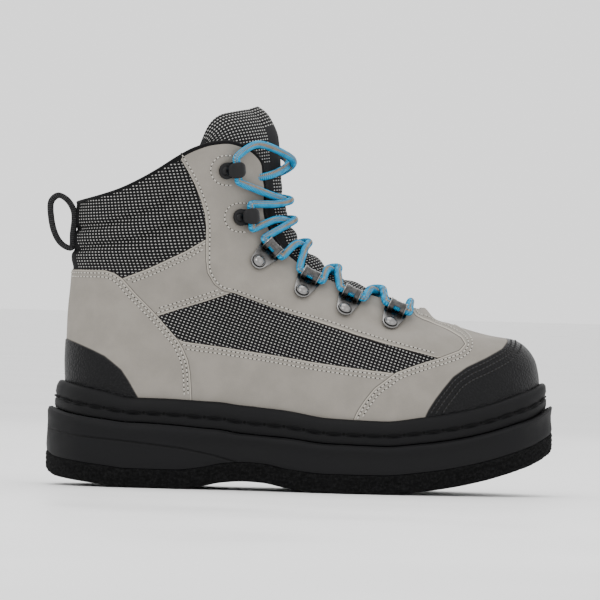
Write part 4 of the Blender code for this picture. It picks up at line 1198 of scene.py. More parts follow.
def make_sole():
    """Felt, midsole and the stitched cup that holds the upper."""
    felt = loops_mesh("felt", sole_loops(FELT_STEPS, tread, lambda x: felt_top(x) - CLEARANCE, ragged))
    make_piece("felt_layer", felt, felt_material(), ("felt_sole",))
    middle = loops_mesh("midsole", sole_loops(MIDSOLE_STEPS, felt_top, ledge))
    spots = np.array([vertex.co for vertex in middle.vertices])
    line = photo_place(MIDSOLE_LINE)
    add_values(middle, line=spots[:, 2] - np.interp(spots[:, 0], line[:, 0], line[:, 1], right=-1.0))
    rubber = rubber_material("midsole_rubber", lined=True)
    make_piece("midsole_layer", middle, rubber, ("midsole",))
    cup = loops_mesh("cupsole", sole_loops(CUP_STEPS, cup_foot, cup_top) + cup_inside())
    make_piece("cup_band", cup, rubber_material("cup_rubber", CUP_RUBBER, 0.58), ("cupsole",))
    make_groove()


def cup_foot(x):
    """Z of the cup's underside."""
    return ledge(x) + 2 * CLEARANCE


def cup_inside():
    """Loops that follow the upper down from the cup's edge, under its face."""
    turn = np.linspace(0, 2 * math.pi, SOLE_COLUMNS, endpoint=False)
    loops = []
    for drop in (0.0, 1.5 * MM, 6 * MM):
        level = level_where(turn, lambda points: points[..., 2] > cup_top(points[..., 0]) - drop, 0.0, 8.0)
        loops.append(skin(turn, level, CLEARANCE))
    loops += [skin(turn, level, CLEARANCE) for level in (0.6, 0.05)]
    loops[-1][:, 2] = deck(loops[-1][:, 0]) - CLEARANCE
    return loops


def thread_material(name, colour):
    """Twisted thread."""
    finish = Finish(name, colour, 0.85, gloss=0.12)
    twist = finish.noise(0.35 * MM, 2)
    tint = finish.mix(finish.step(twist, 0.3, 0.8), tuple(value * 0.7 for value in colour), colour)
    return finish.set(colour=tint, normal=finish.bump(twist, 0.15 * MM, 0.8)).material


def stitch_points(line, ups, kept, pitch, length, width):
    """Rings of points for the stitches along a line, and the line's spots between them for the holes."""
    runs = run_lengths(line)

    def ahead_at(at):
        """The line's way on at distances along it."""
        return unit(read_along(runs, line, at + 0.2 * MM) - read_along(runs, line, at - 0.2 * MM))

    middles = (np.arange(int(runs[-1] / pitch)) + 0.5) * pitch
    middles = middles[np.interp(middles, runs, kept.astype(float)) > 0.9]
    share = np.linspace(0, 1, STITCH_RINGS)[None, :]
    at = (middles[:, None] + (share - 0.5) * length).ravel()
    up = unit(read_along(runs, ups, at))
    beside = unit(np.cross(ahead_at(at), up))
    arch = np.tile(np.sin(math.pi * np.clip(share[0], 0.06, 0.94)), len(middles))
    girth = width / 2 * (0.4 + 0.6 * arch ** 0.6)
    rise = width * (0.45 * arch - 0.10)
    angle = 2 * math.pi * np.arange(STITCH_SIDES) / STITCH_SIDES
    round_it = (beside[:, None] * np.cos(angle)[None, :, None] + up[:, None] * np.sin(angle)[None, :, None])
    rings = (read_along(runs, line, at) + up * rise[:, None])[:, None] + girth[:, None, None] * round_it
    gaps = middles - pitch / 2
    holes = (read_along(runs, line, gaps), unit(read_along(runs, ups, gaps)), ahead_at(gaps))
    return rings.reshape(-1, STITCH_RINGS * STITCH_SIDES, 3), holes


def stitch_mesh(name, blocks):
    """One mesh of every stitch in some blocks of rings."""
    points = np.concatenate(blocks)
    ring = grid_faces(STITCH_RINGS, STITCH_SIDES, closed=True)
    ring += [tuple(range(STITCH_SIDES))[::-1]]
    last = (STITCH_RINGS - 1) * STITCH_SIDES
    ring += [tuple(range(last, last + STITCH_SIDES))]
    size = STITCH_RINGS * STITCH_SIDES
    faces = []
    for first in range(0, len(points) * size, size):
        faces += [tuple(corner + first for corner in face) for face in ring]
    return mesh_of(name, points.reshape(-1, 3), faces, 60)


def hole_mesh(name, spots, radius):
    """Small domed dark spots where the needle went in: painted shade standing for the holes' hollows."""
    points, faces = [], []
    for centres, ups, aheads in spots:
        for centre, up, ahead, side in zip(centres, ups, aheads, np.cross(aheads, ups)):
            first = len(points)
            for turn in 2 * math.pi * np.arange(HOLE_SIDES) / HOLE_SIDES:
                reach = side * math.cos(turn) + ahead * math.sin(turn)
                points.append(centre + reach * radius - up * 0.05 * MM)
            points.append(centre + up * 0.12 * MM)
            for corner in range(HOLE_SIDES):
                faces.append((first + corner, first + (corner + 1) % HOLE_SIDES, first + HOLE_SIDES))
    return mesh_of(name, points, faces, 60)


def seam_height(x, z, side):
    """Points, ways out and panel depths of the dressed upper's face, and how far each misses its spot."""
    turn, level = place_xz(x, z, side)
    base = bare_skin(turn, level)
    depths, proud = relief_of(base)
    ups = outward(turn, level)
    points = base + ups * proud[:, None]
    points[:, 0] -= overhang(base)
    return points, ups, depths, np.hypot(base[:, 0] - x, base[:, 2] - z)


def seam_line(edge, panel, inset, side):
    """A row of stitching inside a panel's edge on one side of the boot, and where it isn't covered."""
    line = rounded(side_view(edge), 10)
    ahead = np.gradient(line, axis=0)
    normal = unit(np.column_stack((-ahead[:, 1], ahead[:, 0])))
    rank = [name for name, _, _ in PANELS].index(panel)
    middle = len(line) // 2
    probe = line[middle:middle + 1] + normal[middle:middle + 1] * MM
    way = 1.0 if panel_depth(probe, side_view(PANELS[rank][1]))[0] > 0 else -1.0
    spots = line + normal * way * inset
    points, ups, depths, miss = seam_height(spots[:, 0], spots[:, 1], side)
    kept = (miss < SEAM_MISS) & (depths[panel] > inset - SEAM_SLACK)
    for name, _, _ in PANELS[rank + 1:]:
        kept &= depths[name] < -SEAM_COVER
    collar = above_seat(between(COLLAR_ROWS, station_of(points[:, 0]), 1))
    kept &= points[:, 2] > cup_top(points[:, 0]) + SEAM_OVER_CUP
    return points, ups, kept & (points[:, 2] < collar - SEAM_UNDER_COLLAR)


def hook_seam(row, side):
    """The D of stitching round the back of a hook."""
    x, z = along(row[1]) - HOOK_SEAM_BACK, above_seat(row[2])
    angle = np.radians(np.linspace(90, 270, 40))
    step = np.linspace(HOOK_SEAM_REACH, 0.5 * MM, 8)
    level = np.full(len(step), HOOK_SEAM_RADIUS)
    xs = x + np.concatenate((step, HOOK_SEAM_RADIUS * np.cos(angle), step[::-1]))
    zs = z + np.concatenate((level, HOOK_SEAM_RADIUS * np.sin(angle), -level))
    points, ups, _, _ = seam_height(xs, zs, side)
    return points, ups, np.ones(len(points), bool)


def sew(row, width, stitches, holes):
    """Add a row's stitches and needle holes to the lists."""
    rings, spots = stitch_points(*row, STITCH_PITCH, STITCH_LENGTH, width)
    stitches.append(rings)
    holes.append(spots)


def make_seams():
    """Rows of stitching along the panels, gray on the gray leather and black on the toe cap."""
    gray, black, holes, dark_holes = [], [], [], []
    for side in (-1, 1):
        for edge, panel, insets in SEAMS:
            for inset in insets:
                sew(seam_line(edge, panel, inset * MM, side), STITCH_WIDTH, gray, holes)
        for row in HOOK_PLACES:
            sew(hook_seam(row, side), STITCH_WIDTH, gray, holes)
        edge, panel, insets = TOE_SEAMS
        for inset in insets:
            sew(seam_line(edge, panel, inset * MM, side), TOE_STITCH_WIDTH, black, dark_holes)
    for name, blocks, thread, colour in (("panel_stitches", gray, "gray_thread", THREAD),
                                         ("toe_stitches", black, "black_thread", TOE_THREAD)):
        make_piece(name, stitch_mesh(name, blocks), thread_material(thread, colour))
    # painted shade for the needle holes
    pit = Finish("needle_hole_shade", HOLE_SHADE, 0.9, gloss=0.1)
    pit.set(colour=pit.mix(pit.noise(0.4 * MM, 2), HOLE_SHADE, HOLE_SHADE_PALE))
    make_piece("needle_holes", hole_mesh("needle_holes", holes + dark_holes, HOLE_RADIUS), pit.material)


def make_groove():
    """Long stitches in the cup's groove."""
    turn = np.linspace(0, 2 * math.pi, SOLE_COLUMNS * 3)
    base, out = sole_outline(turn)
    spot = base + out * (margin_at(turn, *GROOVE_STEP) + 0.2 * MM)[:, None]
    low = cup_foot(spot[:, 0])
    line = np.column_stack((spot, low + (cup_top(spot[:, 0]) - low) * GROOVE_RISE))
    ups = np.column_stack((out, np.zeros(len(out))))
    everywhere = np.ones(len(line), bool)
    rings, spots = stitch_points(line, ups, everywhere, GROOVE_PITCH, GROOVE_STITCH, GROOVE_WIDTH)
    thread = thread_material("groove_thread", GROOVE_THREAD)
    make_piece("groove_thread", stitch_mesh("groove_thread", [rings]), thread)
    # painted shade for the needle holes in the groove
    pit = Finish("groove_hole_shade", GROOVE_HOLE_SHADE, 0.9, gloss=0.05)
    pit.set(roughness=pit.noise(0.5 * MM, 2))
    make_piece("groove_holes", hole_mesh("groove_holes", [spots], GROOVE_HOLE_RADIUS), pit.material)


def make_binding():
    """The black binding round the collar and down the throat's edges."""
    turn, level = (grid[-1] for grid in upper_grid(220, 3))
    rise = np.linspace(BINDING_FOOT, level[0], 40)[:-1]
    edge = throat_turn(rise)
    turns = np.concatenate((edge, turn, (2 * math.pi - edge)[::-1]))
    levels = np.concatenate((rise, level, rise[::-1]))
    cloth = cloth_material("binding_cloth", BINDING, BINDING_THREAD, 0.5 * MM)
    path = skin(turns, levels, BINDING_SINK)
    tube("collar_binding", path, BINDING_RADIUS, 12, cloth, ribs=0.0, flat=1.35)


def make_insole():
    """The footbed, with a rolled edge."""
    turn = np.linspace(0, 2 * math.pi, 180, endpoint=False)
    loops = []
    for lift, inset in INSOLE_LOOPS:
        height = CLEARANCE + INSOLE_THICKNESS * lift
        level = level_where(turn, lambda points: points[..., 2] > deck(points[..., 0]) + height, 0.0, 8.0)
        spot = skin(turn, level, -WALL - 4 * CLEARANCE - inset * MM)
        spot[:, 2] = deck(spot[:, 0]) + height
        loops.append(spot)
    cloth = cloth_material("footbed_cloth", FOOTBED, FOOTBED_THREAD, 0.8 * MM)
    make_piece("footbed", loops_mesh("footbed", loops), cloth, ("insole",))


def tongue_material():
    """The tongue's dashed mesh, with plain black edges and a plain black label near its top."""
    finish = Finish("tongue_mesh", MESH_BLACK, 0.9)
    white = weave(finish)
    plain = finish.step(finish.value("plain"), -0.2 * MM, 0.2 * MM)
    colour = finish.mix(plain, finish.mix(white, MESH_BLACK, MESH_WHITE), BLACK_EDGE)
    shown = finish.times(white, finish.math("SUBTRACT", 1.0, plain))
    relief = finish.bump(finish.noise(0.5 * MM, 3), 0.15 * MM, 0.6)
    return finish.set(colour=colour, normal=finish.bump(shown, 0.35 * MM, 0.8, relief)).material


def tongue_relief(turn, level):
    """How far the tongue's face stands out: sunk under the eyestays, padded and sewn between them."""
    inner_edge = throat_turn(level) - math.radians(TONGUE_SLACK)
    reach = np.clip(np.abs(turn) / np.maximum(inner_edge, 1e-6), 0, 1)
    under = -(WALL + 4 * CLEARANCE)
    proud = np.where(inner_edge > 0, under * (1 - np.cos(math.pi / 2 * reach)), under)
    wave = np.abs(np.sin(math.pi * (level - TONGUE_FOOT) / TONGUE_CHANNEL_STEP)) ** 0.5
    first, grown, fading, last = TONGUE_CHANNEL_LEVELS
    sewn = (1 - reach) ** 0.5 * ramp(level, first, grown) * (1 - ramp(level, fading, last))
    proud = proud + (wave - 0.75) * TONGUE_CHANNEL_DEPTH * sewn
    for middle in TONGUE_PUFFS:
        proud = proud + PUFF_RISE * np.exp(-((level - middle) / PUFF_LEVELS) ** 2) * (1 - reach) ** 0.5
    return proud


def tongue_plain(across, turn, level):
    """How far each spot is inside the label, the selvage or the band beside the eyestays."""
    beside = np.abs(across - WEAVE_START)
    from_ends = np.minimum(level - LABEL_SPAN[0], LABEL_SPAN[1] - level) * LEVEL_HEIGHT
    label = np.minimum(LABEL_HALF - beside, from_ends)
    selvage = beside - np.max(beside, axis=1, keepdims=True) + SELVAGE
    from_stay = (throat_turn(level) - np.abs(turn)) * STAY_BAND_RADIUS
    band = STAY_BAND * ramp(level, *STAY_BAND_LEVELS) - from_stay
    return np.maximum(np.maximum(label, selvage), np.where(level < STAY_TOP_LEVEL, band, -1.0))


def edge_out(middle, beside, gauge):
    """A column of points that rounds off the tongue's edge."""
    return middle + 0.4 * gauge * unit(middle - beside)


def make_tongue():
    """The padded tongue: sewn channels across its face, a roll along its top, thin tucked edges."""
    columns, rows = TONGUE_GRID
    share = np.linspace(-1, 1, columns)[None, :]
    base_level = np.linspace(TONGUE_FOOT, TOP_LEVEL, rows)[:, None]
    corner = np.maximum(np.abs(share) - TONGUE_CORNER, 0) / (1 - TONGUE_CORNER)
    level = base_level - TONGUE_DROP * corner ** 2.4 * np.maximum(base_level - TONGUE_CORNER_LEVEL, 0)
    spread_out = TONGUE_SPREAD * ramp(base_level, *TONGUE_SPREAD_LEVELS)
    turn = share * np.radians(between(THROAT_ROWS, level, 2) + spread_out)
    proud = tongue_relief(turn, level)
    gauge = TONGUE_EDGE + (TONGUE_PAD - TONGUE_EDGE) * (1 - share ** 2) ** 0.8
    roll = 1 - np.sqrt(np.clip(1 - ramp(base_level, TOP_LEVEL - TONGUE_ROLL, TOP_LEVEL) ** 2, 0, 1))
    face = skin(turn, level, proud - gauge / 2 * roll)
    back = skin(turn, level, proud - gauge + gauge / 2 * roll)
    middle = skin(turn, level, proud - gauge / 2)
    left = edge_out(middle[:, :1], middle[:, 1:2], gauge[0, 0])
    right = edge_out(middle[:, -1:], middle[:, -2:-1], gauge[0, -1])
    around = np.concatenate((left, face, right, back[:, ::-1]), axis=1)
    crest = np.clip(1 - share ** 2, 0, 1) ** 1.5 * TONGUE_CREST
    crest = np.concatenate(([[0.0]], crest, [[0.0]], crest[:, ::-1]), axis=1)
    around[..., 2] += crest * ramp(base_level, TOP_LEVEL - 2.0, TOP_LEVEL)
    mesh = mesh_of("tongue", around.reshape(-1, 3), closed_faces(*around.shape[:2]), 60)
    across = across_from_middle(face)
    up = np.broadcast_to(arc_lengths(face, 0)[:, columns // 5:columns // 5 + 1], across.shape)

    def spread(values, fill):
        """The face's values, with one value all over the edges and the back."""
        pad = np.full((rows, 1), fill)
        return np.concatenate((pad, values, pad, np.full(values.shape, fill)), axis=1).ravel()

    add_values(mesh, across=spread(across, WEAVE_START), up=spread(up, 0.0),
               plain=spread(tongue_plain(across, turn, level), 1.0))
    piece = make_piece("tongue_pad", mesh, tongue_material(), ("tongue",))


def carried_round(tangents):
    """Normals carried along a path with no twist."""
    normal = np.cross(tangents[0], (0.0, 0.0, 1.0))
    normals = []
    for ahead in tangents:
        normal = unit(normal - ahead * (normal @ ahead))
        normals.append(normal)
    return np.array(normals)


def tube(name, path, radius, sides, material, nodes=(), flat=1.0, faces_out=None, ribs=0.035):
    """A tube along a dense path, with its turn and length stored for its stripes."""
    tangents = unit(np.gradient(path, axis=0))
    if faces_out is None:
        normals = carried_round(tangents)
    else:
        normals = unit(faces_out - tangents * np.sum(faces_out * tangents, axis=1, keepdims=True))
    binormals = np.cross(tangents, normals) * flat
    runs = run_lengths(path)
    angle = np.linspace(0, 2 * math.pi, sides, endpoint=False)
    ridge = radius * (1 + ribs * np.sin(runs * 2 * math.pi / LACE_RIB))
    ring = normals[:, None] * np.cos(angle)[None, :, None]
    ring = ring + binormals[:, None] * np.sin(angle)[None, :, None]
    points = (path[:, None] + ring * ridge[:, None, None]).reshape(-1, 3)
    faces = grid_faces(len(path), sides, closed=True)
    faces += [tuple(range(sides))[::-1], tuple(range(len(points) - sides, len(points)))]
    mesh = mesh_of(name, points, faces, 70)
    add_values(mesh, around=np.tile(angle, len(path)), run=np.repeat(runs, sides))
    make_piece(name, mesh, material, nodes)


def lace_material():
    """Blue cord with a tan stripe along each side that sways a little, woven in fine ribs."""
    finish = Finish("lace_cord", LACE_BLUE, 0.75, gloss=0.15)
    run, around = finish.value("run"), finish.value("around")
    sway = finish.times(finish.math("SINE", finish.times(run, 130.0)), 0.30)
    wound = finish.times(finish.math("ADD", around, sway), 2.0)
    stripe = finish.step(finish.math("COSINE", wound), 0.48, 0.72)
    slant = finish.math("ADD", finish.times(run, 2 * math.pi / (1.0 * MM)), finish.times(around, 2.0))
    ribs = finish.step(finish.math("SINE", slant), -1.0, 0.9)
    fuzz = finish.step(finish.noise(0.4 * MM, 3), 0.2, 0.6, 0.7, 1.0)
    bright = finish.mix(stripe, LACE_BLUE, LACE_TAN)
    dark = finish.mix(stripe, LACE_BLUE_DARK, LACE_TAN_DARK)
    colour = finish.mix(finish.times(ribs, fuzz), dark, bright)
    return finish.set(colour=colour, normal=finish.bump(ribs, 0.28 * MM, 0.8)).material


def one(points):
    """A single point as a vector."""
    return Vector(np.asarray(points, float).reshape(3))


def seat_on_stay(turn, level, heading, half_width, length):
    """A frame whose XY plane just clears the eyestay: Z out of its face, Y along the heading."""
    out = one(outward(turn, level))
    ahead = (heading - out * heading.dot(out)).normalized()
    axes = Matrix((ahead.cross(out), ahead, out)).transposed().to_4x4()
    seat = Matrix.Translation(one(skin(turn, level))) @ axes
    steps = np.arange(-6, 7)
    faces = skin(float(turn) + steps[:, None] * 0.06, float(level) + steps[None, :] * 0.2,
                 CLEARANCE + COVER_THICKNESS)
    spots = [seat.inverted() @ Vector(face) for face in faces.reshape(-1, 3)]
    heights = [spot.z for spot in spots if abs(spot.x) < half_width and abs(spot.y) < length / 2]
    return seat @ Matrix.Translation((0, 0, max(heights + [0.0]) + 2 * CLEARANCE))


def ring_seat(row, side):
    """Where a lace ring sits, its Y from the rivet to the loop and its origin at the rivet."""
    turn, level = place(row[1], row[2], side)
    loop_turn, loop_level = place(row[3], row[4], side)
    heading = one(skin(loop_turn, loop_level)) - one(skin(turn, level))
    middle = place((row[1] + row[3]) / 2, (row[2] + row[4]) / 2, side)
    seat = seat_on_stay(*middle, heading, RING_PLATE_WIDTH / 2, RING_PLATE_LENGTH + RIVET_DIAMETER)
    return seat @ Matrix.Translation((0, -RING_PLATE_LENGTH * TUNNEL_SHARE / 2, 0))


def hook_seat(row, side):
    """Where a hook sits, its Y towards the throat."""
    turn, level = place(row[1], row[2], side)
    heading = one(skin(turn - side * 0.2, level)) - one(skin(turn, level))
    return seat_on_stay(turn, level, heading, HOOK_BASE_WIDTH / 2, HOOK_BASE_LENGTH * 1.2)


def mouth(kind, row, side, end):
    """Where the lace leaves a ring or hook, and which way. End 1 is its upper mouth, -1 its lower."""
    if kind == "ring":
        seat, half = ring_seat(row, side), TUNNEL_LENGTH / 2
        spot = (RING_PLATE_LENGTH * TUNNEL_SHARE, LACE_DIAMETER / 2 + RING_PLATE_GAUGE)
    else:
        seat, half = hook_seat(row, side), HOOK_BASE_WIDTH / 2
        spot = (HOOK_BASE_LENGTH * 0.28, HOOK_RISE * 0.5)
    along_x = side * end
    start = seat @ Vector((along_x * (half + 2 * CLEARANCE), *spot))
    return start, (seat.to_3x3() @ Vector((along_x, 0, 0))).normalized()


def crossing_points(low, high, crest, side, over):
    """From a ring's upper mouth to the next one's lower mouth across, over or under the other strand."""
    start, leave = mouth(*low, side, 1)
    end, arrive = mouth(*high, -side, -1)
    low_turn, low_level = place(low[1][-2], low[1][-1], side)
    high_turn, high_level = place(high[1][-2], high[1][-1], -side)
    points = [start, start + leave * LACE_RUN]
    for share, crest_share, lift in LACE_GUIDES:
        base = low_level if share < 0.5 else high_level
        proud = LACE_DIAMETER / 2 + (COVER_THICKNESS + 2 * CLEARANCE) * lift
        if share == 0.5:
            proud += LACE_DIAMETER * (LACE_OVER if over else LACE_UNDER)
        turn = low_turn + (high_turn - low_turn) * share
        points.append(one(skin(turn, base + (crest - base) * crest_share, proud)))
    return points + [end + arrive * LACE_RUN, end]


def lace_path(side):
    """One half of the lace: from the bar's middle through rings and hooks to where it is tucked away."""
    holders = [("ring", row) for row in reversed(RING_PLACES)]
    holders += [("hook", row) for row in reversed(HOOK_PLACES)]
    bar, leave = mouth("ring", RING_PLACES[-1], side, -1)
    near = bar + leave * LACE_RUN
    crest = one(skin(0.0, BAR_LEVEL, LACE_DIAMETER))
    points = [crest, (near + crest) / 2 + Vector((0, 0, LACE_DIAMETER / 4)), near, bar]
    here = side
    for index, level in enumerate(CREST_LEVELS):
        over = (index % 2 == 0) == (side == -1)
        points += crossing_points(holders[index], holders[index + 1], level, here, over)
        here = -here
    start, leave = mouth("hook", HOOK_PLACES[0], here, 1)
    points += [start, start + leave * LACE_RUN]
    for index, (station, rise, across, lift) in enumerate(TOP_GUIDES):
        turn, level = place(station, rise, here * across)
        shift = LACE_ASIDE if side == 1 and index in (1, 2) else 0.0
        points.append(one(skin(turn, level, LACE_DIAMETER / 2 + COVER_THICKNESS * lift + shift)))
    return points


def softened(path):
    """A path in even steps with its bends eased."""
    runs = run_lengths(path)
    path = read_along(runs, path, np.linspace(0, runs[-1], int(runs[-1] / LACE_STEP)))
    reach = int(3 * LACE_EASE / LACE_STEP)
    weights = np.exp(-(np.arange(-reach, reach + 1) * LACE_STEP / LACE_EASE) ** 2 / 2)
    padded = np.vstack((2 * path[:1] - path[reach:0:-1], path, 2 * path[-1:] - path[-2:-reach - 2:-1]))
    eased = [np.convolve(padded[:, axis], weights / weights.sum(), "valid") for axis in range(3)]
    return np.column_stack(eased)


def make_laces():
    """Both halves of the lace, run through every ring and hook."""
    material = lace_material()
    nodes = ["lace_cross_" + str(index) for index in range(1, len(CREST_LEVELS) + 1)]
    nodes += ["lace_top", "lace_bar"]
    for side, name in ((-1, "lace_from_outer"), (1, "lace_from_inner")):
        path = softened(rounded(lace_path(side), 10))
        ahead, up = (np.full(len(path), share) for share in STRIPE_WAY)
        away = np.column_stack((ahead, np.tanh(path[:, 1] / STRIPE_TURN), up))
        tube(name, path, LACE_DIAMETER / 2, 14, material, nodes, faces_out=away)


def slab(outline, low, high, bevel):
    """A plate from an outline in XY, standing from one Z to another, with rounded edges."""
    builder = bmesh.new()
    base = builder.faces.new([builder.verts.new((x, y, low)) for x, y in outline])
    pushed = bmesh.ops.extrude_face_region(builder, geom=[base])
    moved = [item for item in pushed["geom"] if isinstance(item, bmesh.types.BMVert)]
    bmesh.ops.translate(builder, verts=moved, vec=(0, 0, high - low))
    rims = [edge for edge in builder.edges if abs(edge.verts[0].co.z - edge.verts[1].co.z) < 1e-9]
    bmesh.ops.bevel(builder, geom=rims, offset=bevel, segments=2, affect="EDGES", profile=0.5)
    bmesh.ops.recalc_face_normals(builder, faces=builder.faces)
    return builder


def turned(profile, sides, start=0.0, end=360.0):
    """A form turned about Z from radius and height pairs, all the way round or over part of a turn."""
    whole = end - start >= 360.0
    count = sides if whole else sides + 1
    builder = bmesh.new()
    rings = []
    for index in range(count):
        angle = math.radians(start + (end - start) * index / sides)
        rings.append([builder.verts.new((radius * math.cos(angle), radius * math.sin(angle), height))
                      for radius, height in profile])
    closed = profile[0][0] > 0
    for index in range(count if whole else count - 1):
        ring, following = rings[index], rings[(index + 1) % count]
        steps = len(profile) if closed else len(profile) - 1
        for step in range(steps):
            after = (step + 1) % len(profile)
            builder.faces.new((ring[step], following[step], following[after], ring[after]))
    if closed and not whole:
        builder.faces.new(rings[0])
        builder.faces.new(rings[-1][::-1])
    bmesh.ops.remove_doubles(builder, verts=builder.verts, dist=1e-6)
    bmesh.ops.recalc_face_normals(builder, faces=builder.faces)
    return builder


def gathered(name, parts, place_at, pit_at, smooth=35):
    """One mesh from several forms, each moved by its own matrix and then all by one, with each point's
    painted shading stored.
    """
    points, faces, pits = [], [], []
    for builder, matrix in parts:
        first = len(points)
        builder.verts.index_update()
        points += [place_at @ (matrix @ vertex.co) for vertex in builder.verts]
        pits += [pit_at(matrix @ vertex.co) for vertex in builder.verts]
        faces += [tuple(first + vertex.index for vertex in face.verts) for face in builder.faces]
        builder.free()
    mesh = mesh_of(name, points, faces, smooth)
    add_values(mesh, pit=pits)
    return mesh


def ring_pit(spot):
    """How dark a ring is painted at a spot: 1 for painted shade at its foot, round the rivet and in the
    tunnel, -1 for a painted highlight away from the tunnel.
    """
    from_rivet = math.hypot(spot.x, spot.y) / (RIVET_DIAMETER / 2)
    in_groove = 0.92 < from_rivet < 1.1 and spot.z < RING_PLATE_GAUGE * 1.6
    hole = LACE_DIAMETER / 2 + CLEARANCE
    tunnel_z = hole + RING_PLATE_GAUGE - CLEARANCE
    reach = math.hypot(spot.y - RING_PLATE_LENGTH * TUNNEL_SHARE, spot.z - tunnel_z)
    if spot.z < 0.25 * RING_PLATE_GAUGE or in_groove or reach < hole + 0.35 * MM:
        return 1.0
    return -1.0 if reach > hole + RING_PLATE_GAUGE + 0.2 * MM else 0.0


def hook_pit(spot):
    """How dark a hook is painted at a spot: painted shade only at its base's rim."""
    return 1.0 if spot.z < 0.25 * RING_PLATE_GAUGE else 0.0


def arc(center, radius, start, end, steps):
    """Points of an arc, its angles in degrees."""
    angles = np.radians(np.linspace(start, end, steps + 1))
    x, y = center
    return [(x + radius * math.cos(angle), y + radius * math.sin(angle)) for angle in angles]


def metal_material(name, colour, rough, metallic):
    """Cast and plated metal with faint scratches and cloudy wear, painted shade where its stored shading is
    1 and a painted highlight where it is -1.
    """
    finish = Finish(name, colour, rough, metallic, gloss=0.5 if metallic else 0.22)
    cloud = finish.noise(3.0 * MM, 4)
    scratch = finish.noise(0.8 * MM, 3, 0.6, (1, 6, 1))
    pit = finish.value("pit")
    pale = tuple(value * 1.7 for value in colour)
    tint = finish.mix(finish.step(cloud, 0.35, 0.75), colour, pale)
    # painted shade where the stored shading is high
    tint = finish.mix(finish.step(pit, 0.1, 0.9), tint, METAL_PAINTED_SHADE)
    # painted highlight where the stored shading is low
    tint = finish.mix(finish.step(pit, -0.1, -0.9), tint, METAL_PAINTED_HIGHLIGHT if metallic else pale)
    roughness = finish.step(cloud, 0.3, 0.7, rough - 0.08, rough + 0.12)
    relief = finish.bump(scratch, 0.05 * MM, 0.6)
    return finish.set(colour=tint, roughness=roughness, normal=relief).material


def ring_plate():
    """The outline of a lace ring's plate: round at the rivet, broad and square at the tunnel."""
    shoulder, top = RING_PLATE_WIDTH / 2, RING_PLATE_LENGTH
    corner = 2.0 * MM
    outline = arc((0, 0), RIVET_DIAMETER / 2 * 1.25, 195, 345, 16) + [(shoulder, top * 0.66)]
    outline += arc((shoulder - corner, top - corner), corner, 0, 90, 4)
    return outline + arc((corner - shoulder, top - corner), corner, 90, 180, 4) + [(-shoulder, top * 0.66)]


def ring_parts():
    """A lace ring's plate, rivet and tunnel: two cheeks with a saddle over the lace between them."""
    parts = [(slab(ring_plate(), 0.0, RING_PLATE_GAUGE, 0.3 * MM), Matrix.Identity(4))]
    size = RIVET_DIAMETER / 2 / RIVET_DOME_RADIUS
    dome = [(radius * size, height * MM) for radius, height in RIVET_DOME]
    parts.append((turned(dome, 28), Matrix.Translation((0, 0, RING_PLATE_GAUGE))))
    hole, half = LACE_DIAMETER / 2 + CLEARANCE, TUNNEL_LENGTH / 2
    shell = hole + RING_PLATE_GAUGE
    place_at = Matrix.Translation((0, RING_PLATE_LENGTH * TUNNEL_SHARE, shell - CLEARANCE))
    place_at = place_at @ Matrix.Rotation(math.pi / 2, 4, "Y")
    cheek = [(shell + out * MM, up * MM - half) for out, up in CHEEK]
    cheek = [(hole, -half)] + cheek + [(hole, CHEEK_DEPTH - half)]
    other = [(radius, -height) for radius, height in cheek][::-1]
    low, high, end = hole + 0.3 * MM, shell - 0.25 * MM, half - 1.5 * MM
    saddle = [(low, -end), (high, -end), (high, end), (low, end)]
    return parts + [(turned(cheek, 26), place_at), (turned(other, 26), place_at),
                    (turned(saddle, 24, 5.0, 225.0), place_at)]


def strap(line, half_widths, half_gauges):
    """A rounded strap along a line in YZ."""
    builder = bmesh.new()
    ahead = unit(np.gradient(line, axis=0))
    rings = []
    for (y, z), (along_y, along_z), wide, thick in zip(line, ahead, half_widths, half_gauges):
        ring = []
        for corner in range(STRAP_SIDES):
            angle = 2 * math.pi * corner / STRAP_SIDES
            across = math.copysign(abs(math.cos(angle)) ** 0.6, math.cos(angle)) * wide
            lift = math.copysign(abs(math.sin(angle)) ** 0.8, math.sin(angle)) * thick
            ring.append(builder.verts.new((across, y - along_z * lift, z + along_y * lift)))
        rings.append(ring)
    for ring, following in zip(rings, rings[1:]):
        for corner in range(STRAP_SIDES):
            after = (corner + 1) % STRAP_SIDES
            builder.faces.new((ring[corner], ring[after], following[after], following[corner]))
    builder.faces.new(rings[0][::-1])
    builder.faces.new(rings[-1])
    bmesh.ops.recalc_face_normals(builder, faces=builder.faces)
    return builder


def hook_parts():
    """A speed hook's riveted base, and its broad arm, which stands up in front and curls back over."""
    half_length, half_width = HOOK_BASE_LENGTH / 2, HOOK_BASE_WIDTH / 2
    outline = arc((0, half_width - half_length), half_width, 180, 360, 16)
    outline += arc((0, half_length - half_width * 0.8), half_width * 0.9, 0, 180, 12)
    parts = [(slab(outline, 0.0, HOOK_BASE_GAUGE, 0.35 * MM), Matrix.Identity(4))]
    dome = [(radius * MM, height * MM) for radius, height in HOOK_DOME]
    parts.append((turned(dome, 24), Matrix.Translation((0, -half_length * 0.45, HOOK_BASE_GAUGE))))
    line = rounded([(lengthways * half_length, up * HOOK_RISE) for lengthways, up in HOOK_ARM_LINE], 5)
    runs = run_lengths(line) / run_lengths(line)[-1]
    from_middle = np.abs(line[:, 0] / half_length - 0.36) / 0.86
    width = half_width * 0.95 * np.sqrt(np.clip(1 - from_middle ** 3, 0.05, 1))
    into_tip = np.maximum(runs - 0.9, 0) / 0.101
    gauge = HOOK_ARM_GAUGE * np.sqrt(np.clip(1 - into_tip ** 2, 0.05, 1))
    return parts + [(strap(line, width, gauge), Matrix.Identity(4))]


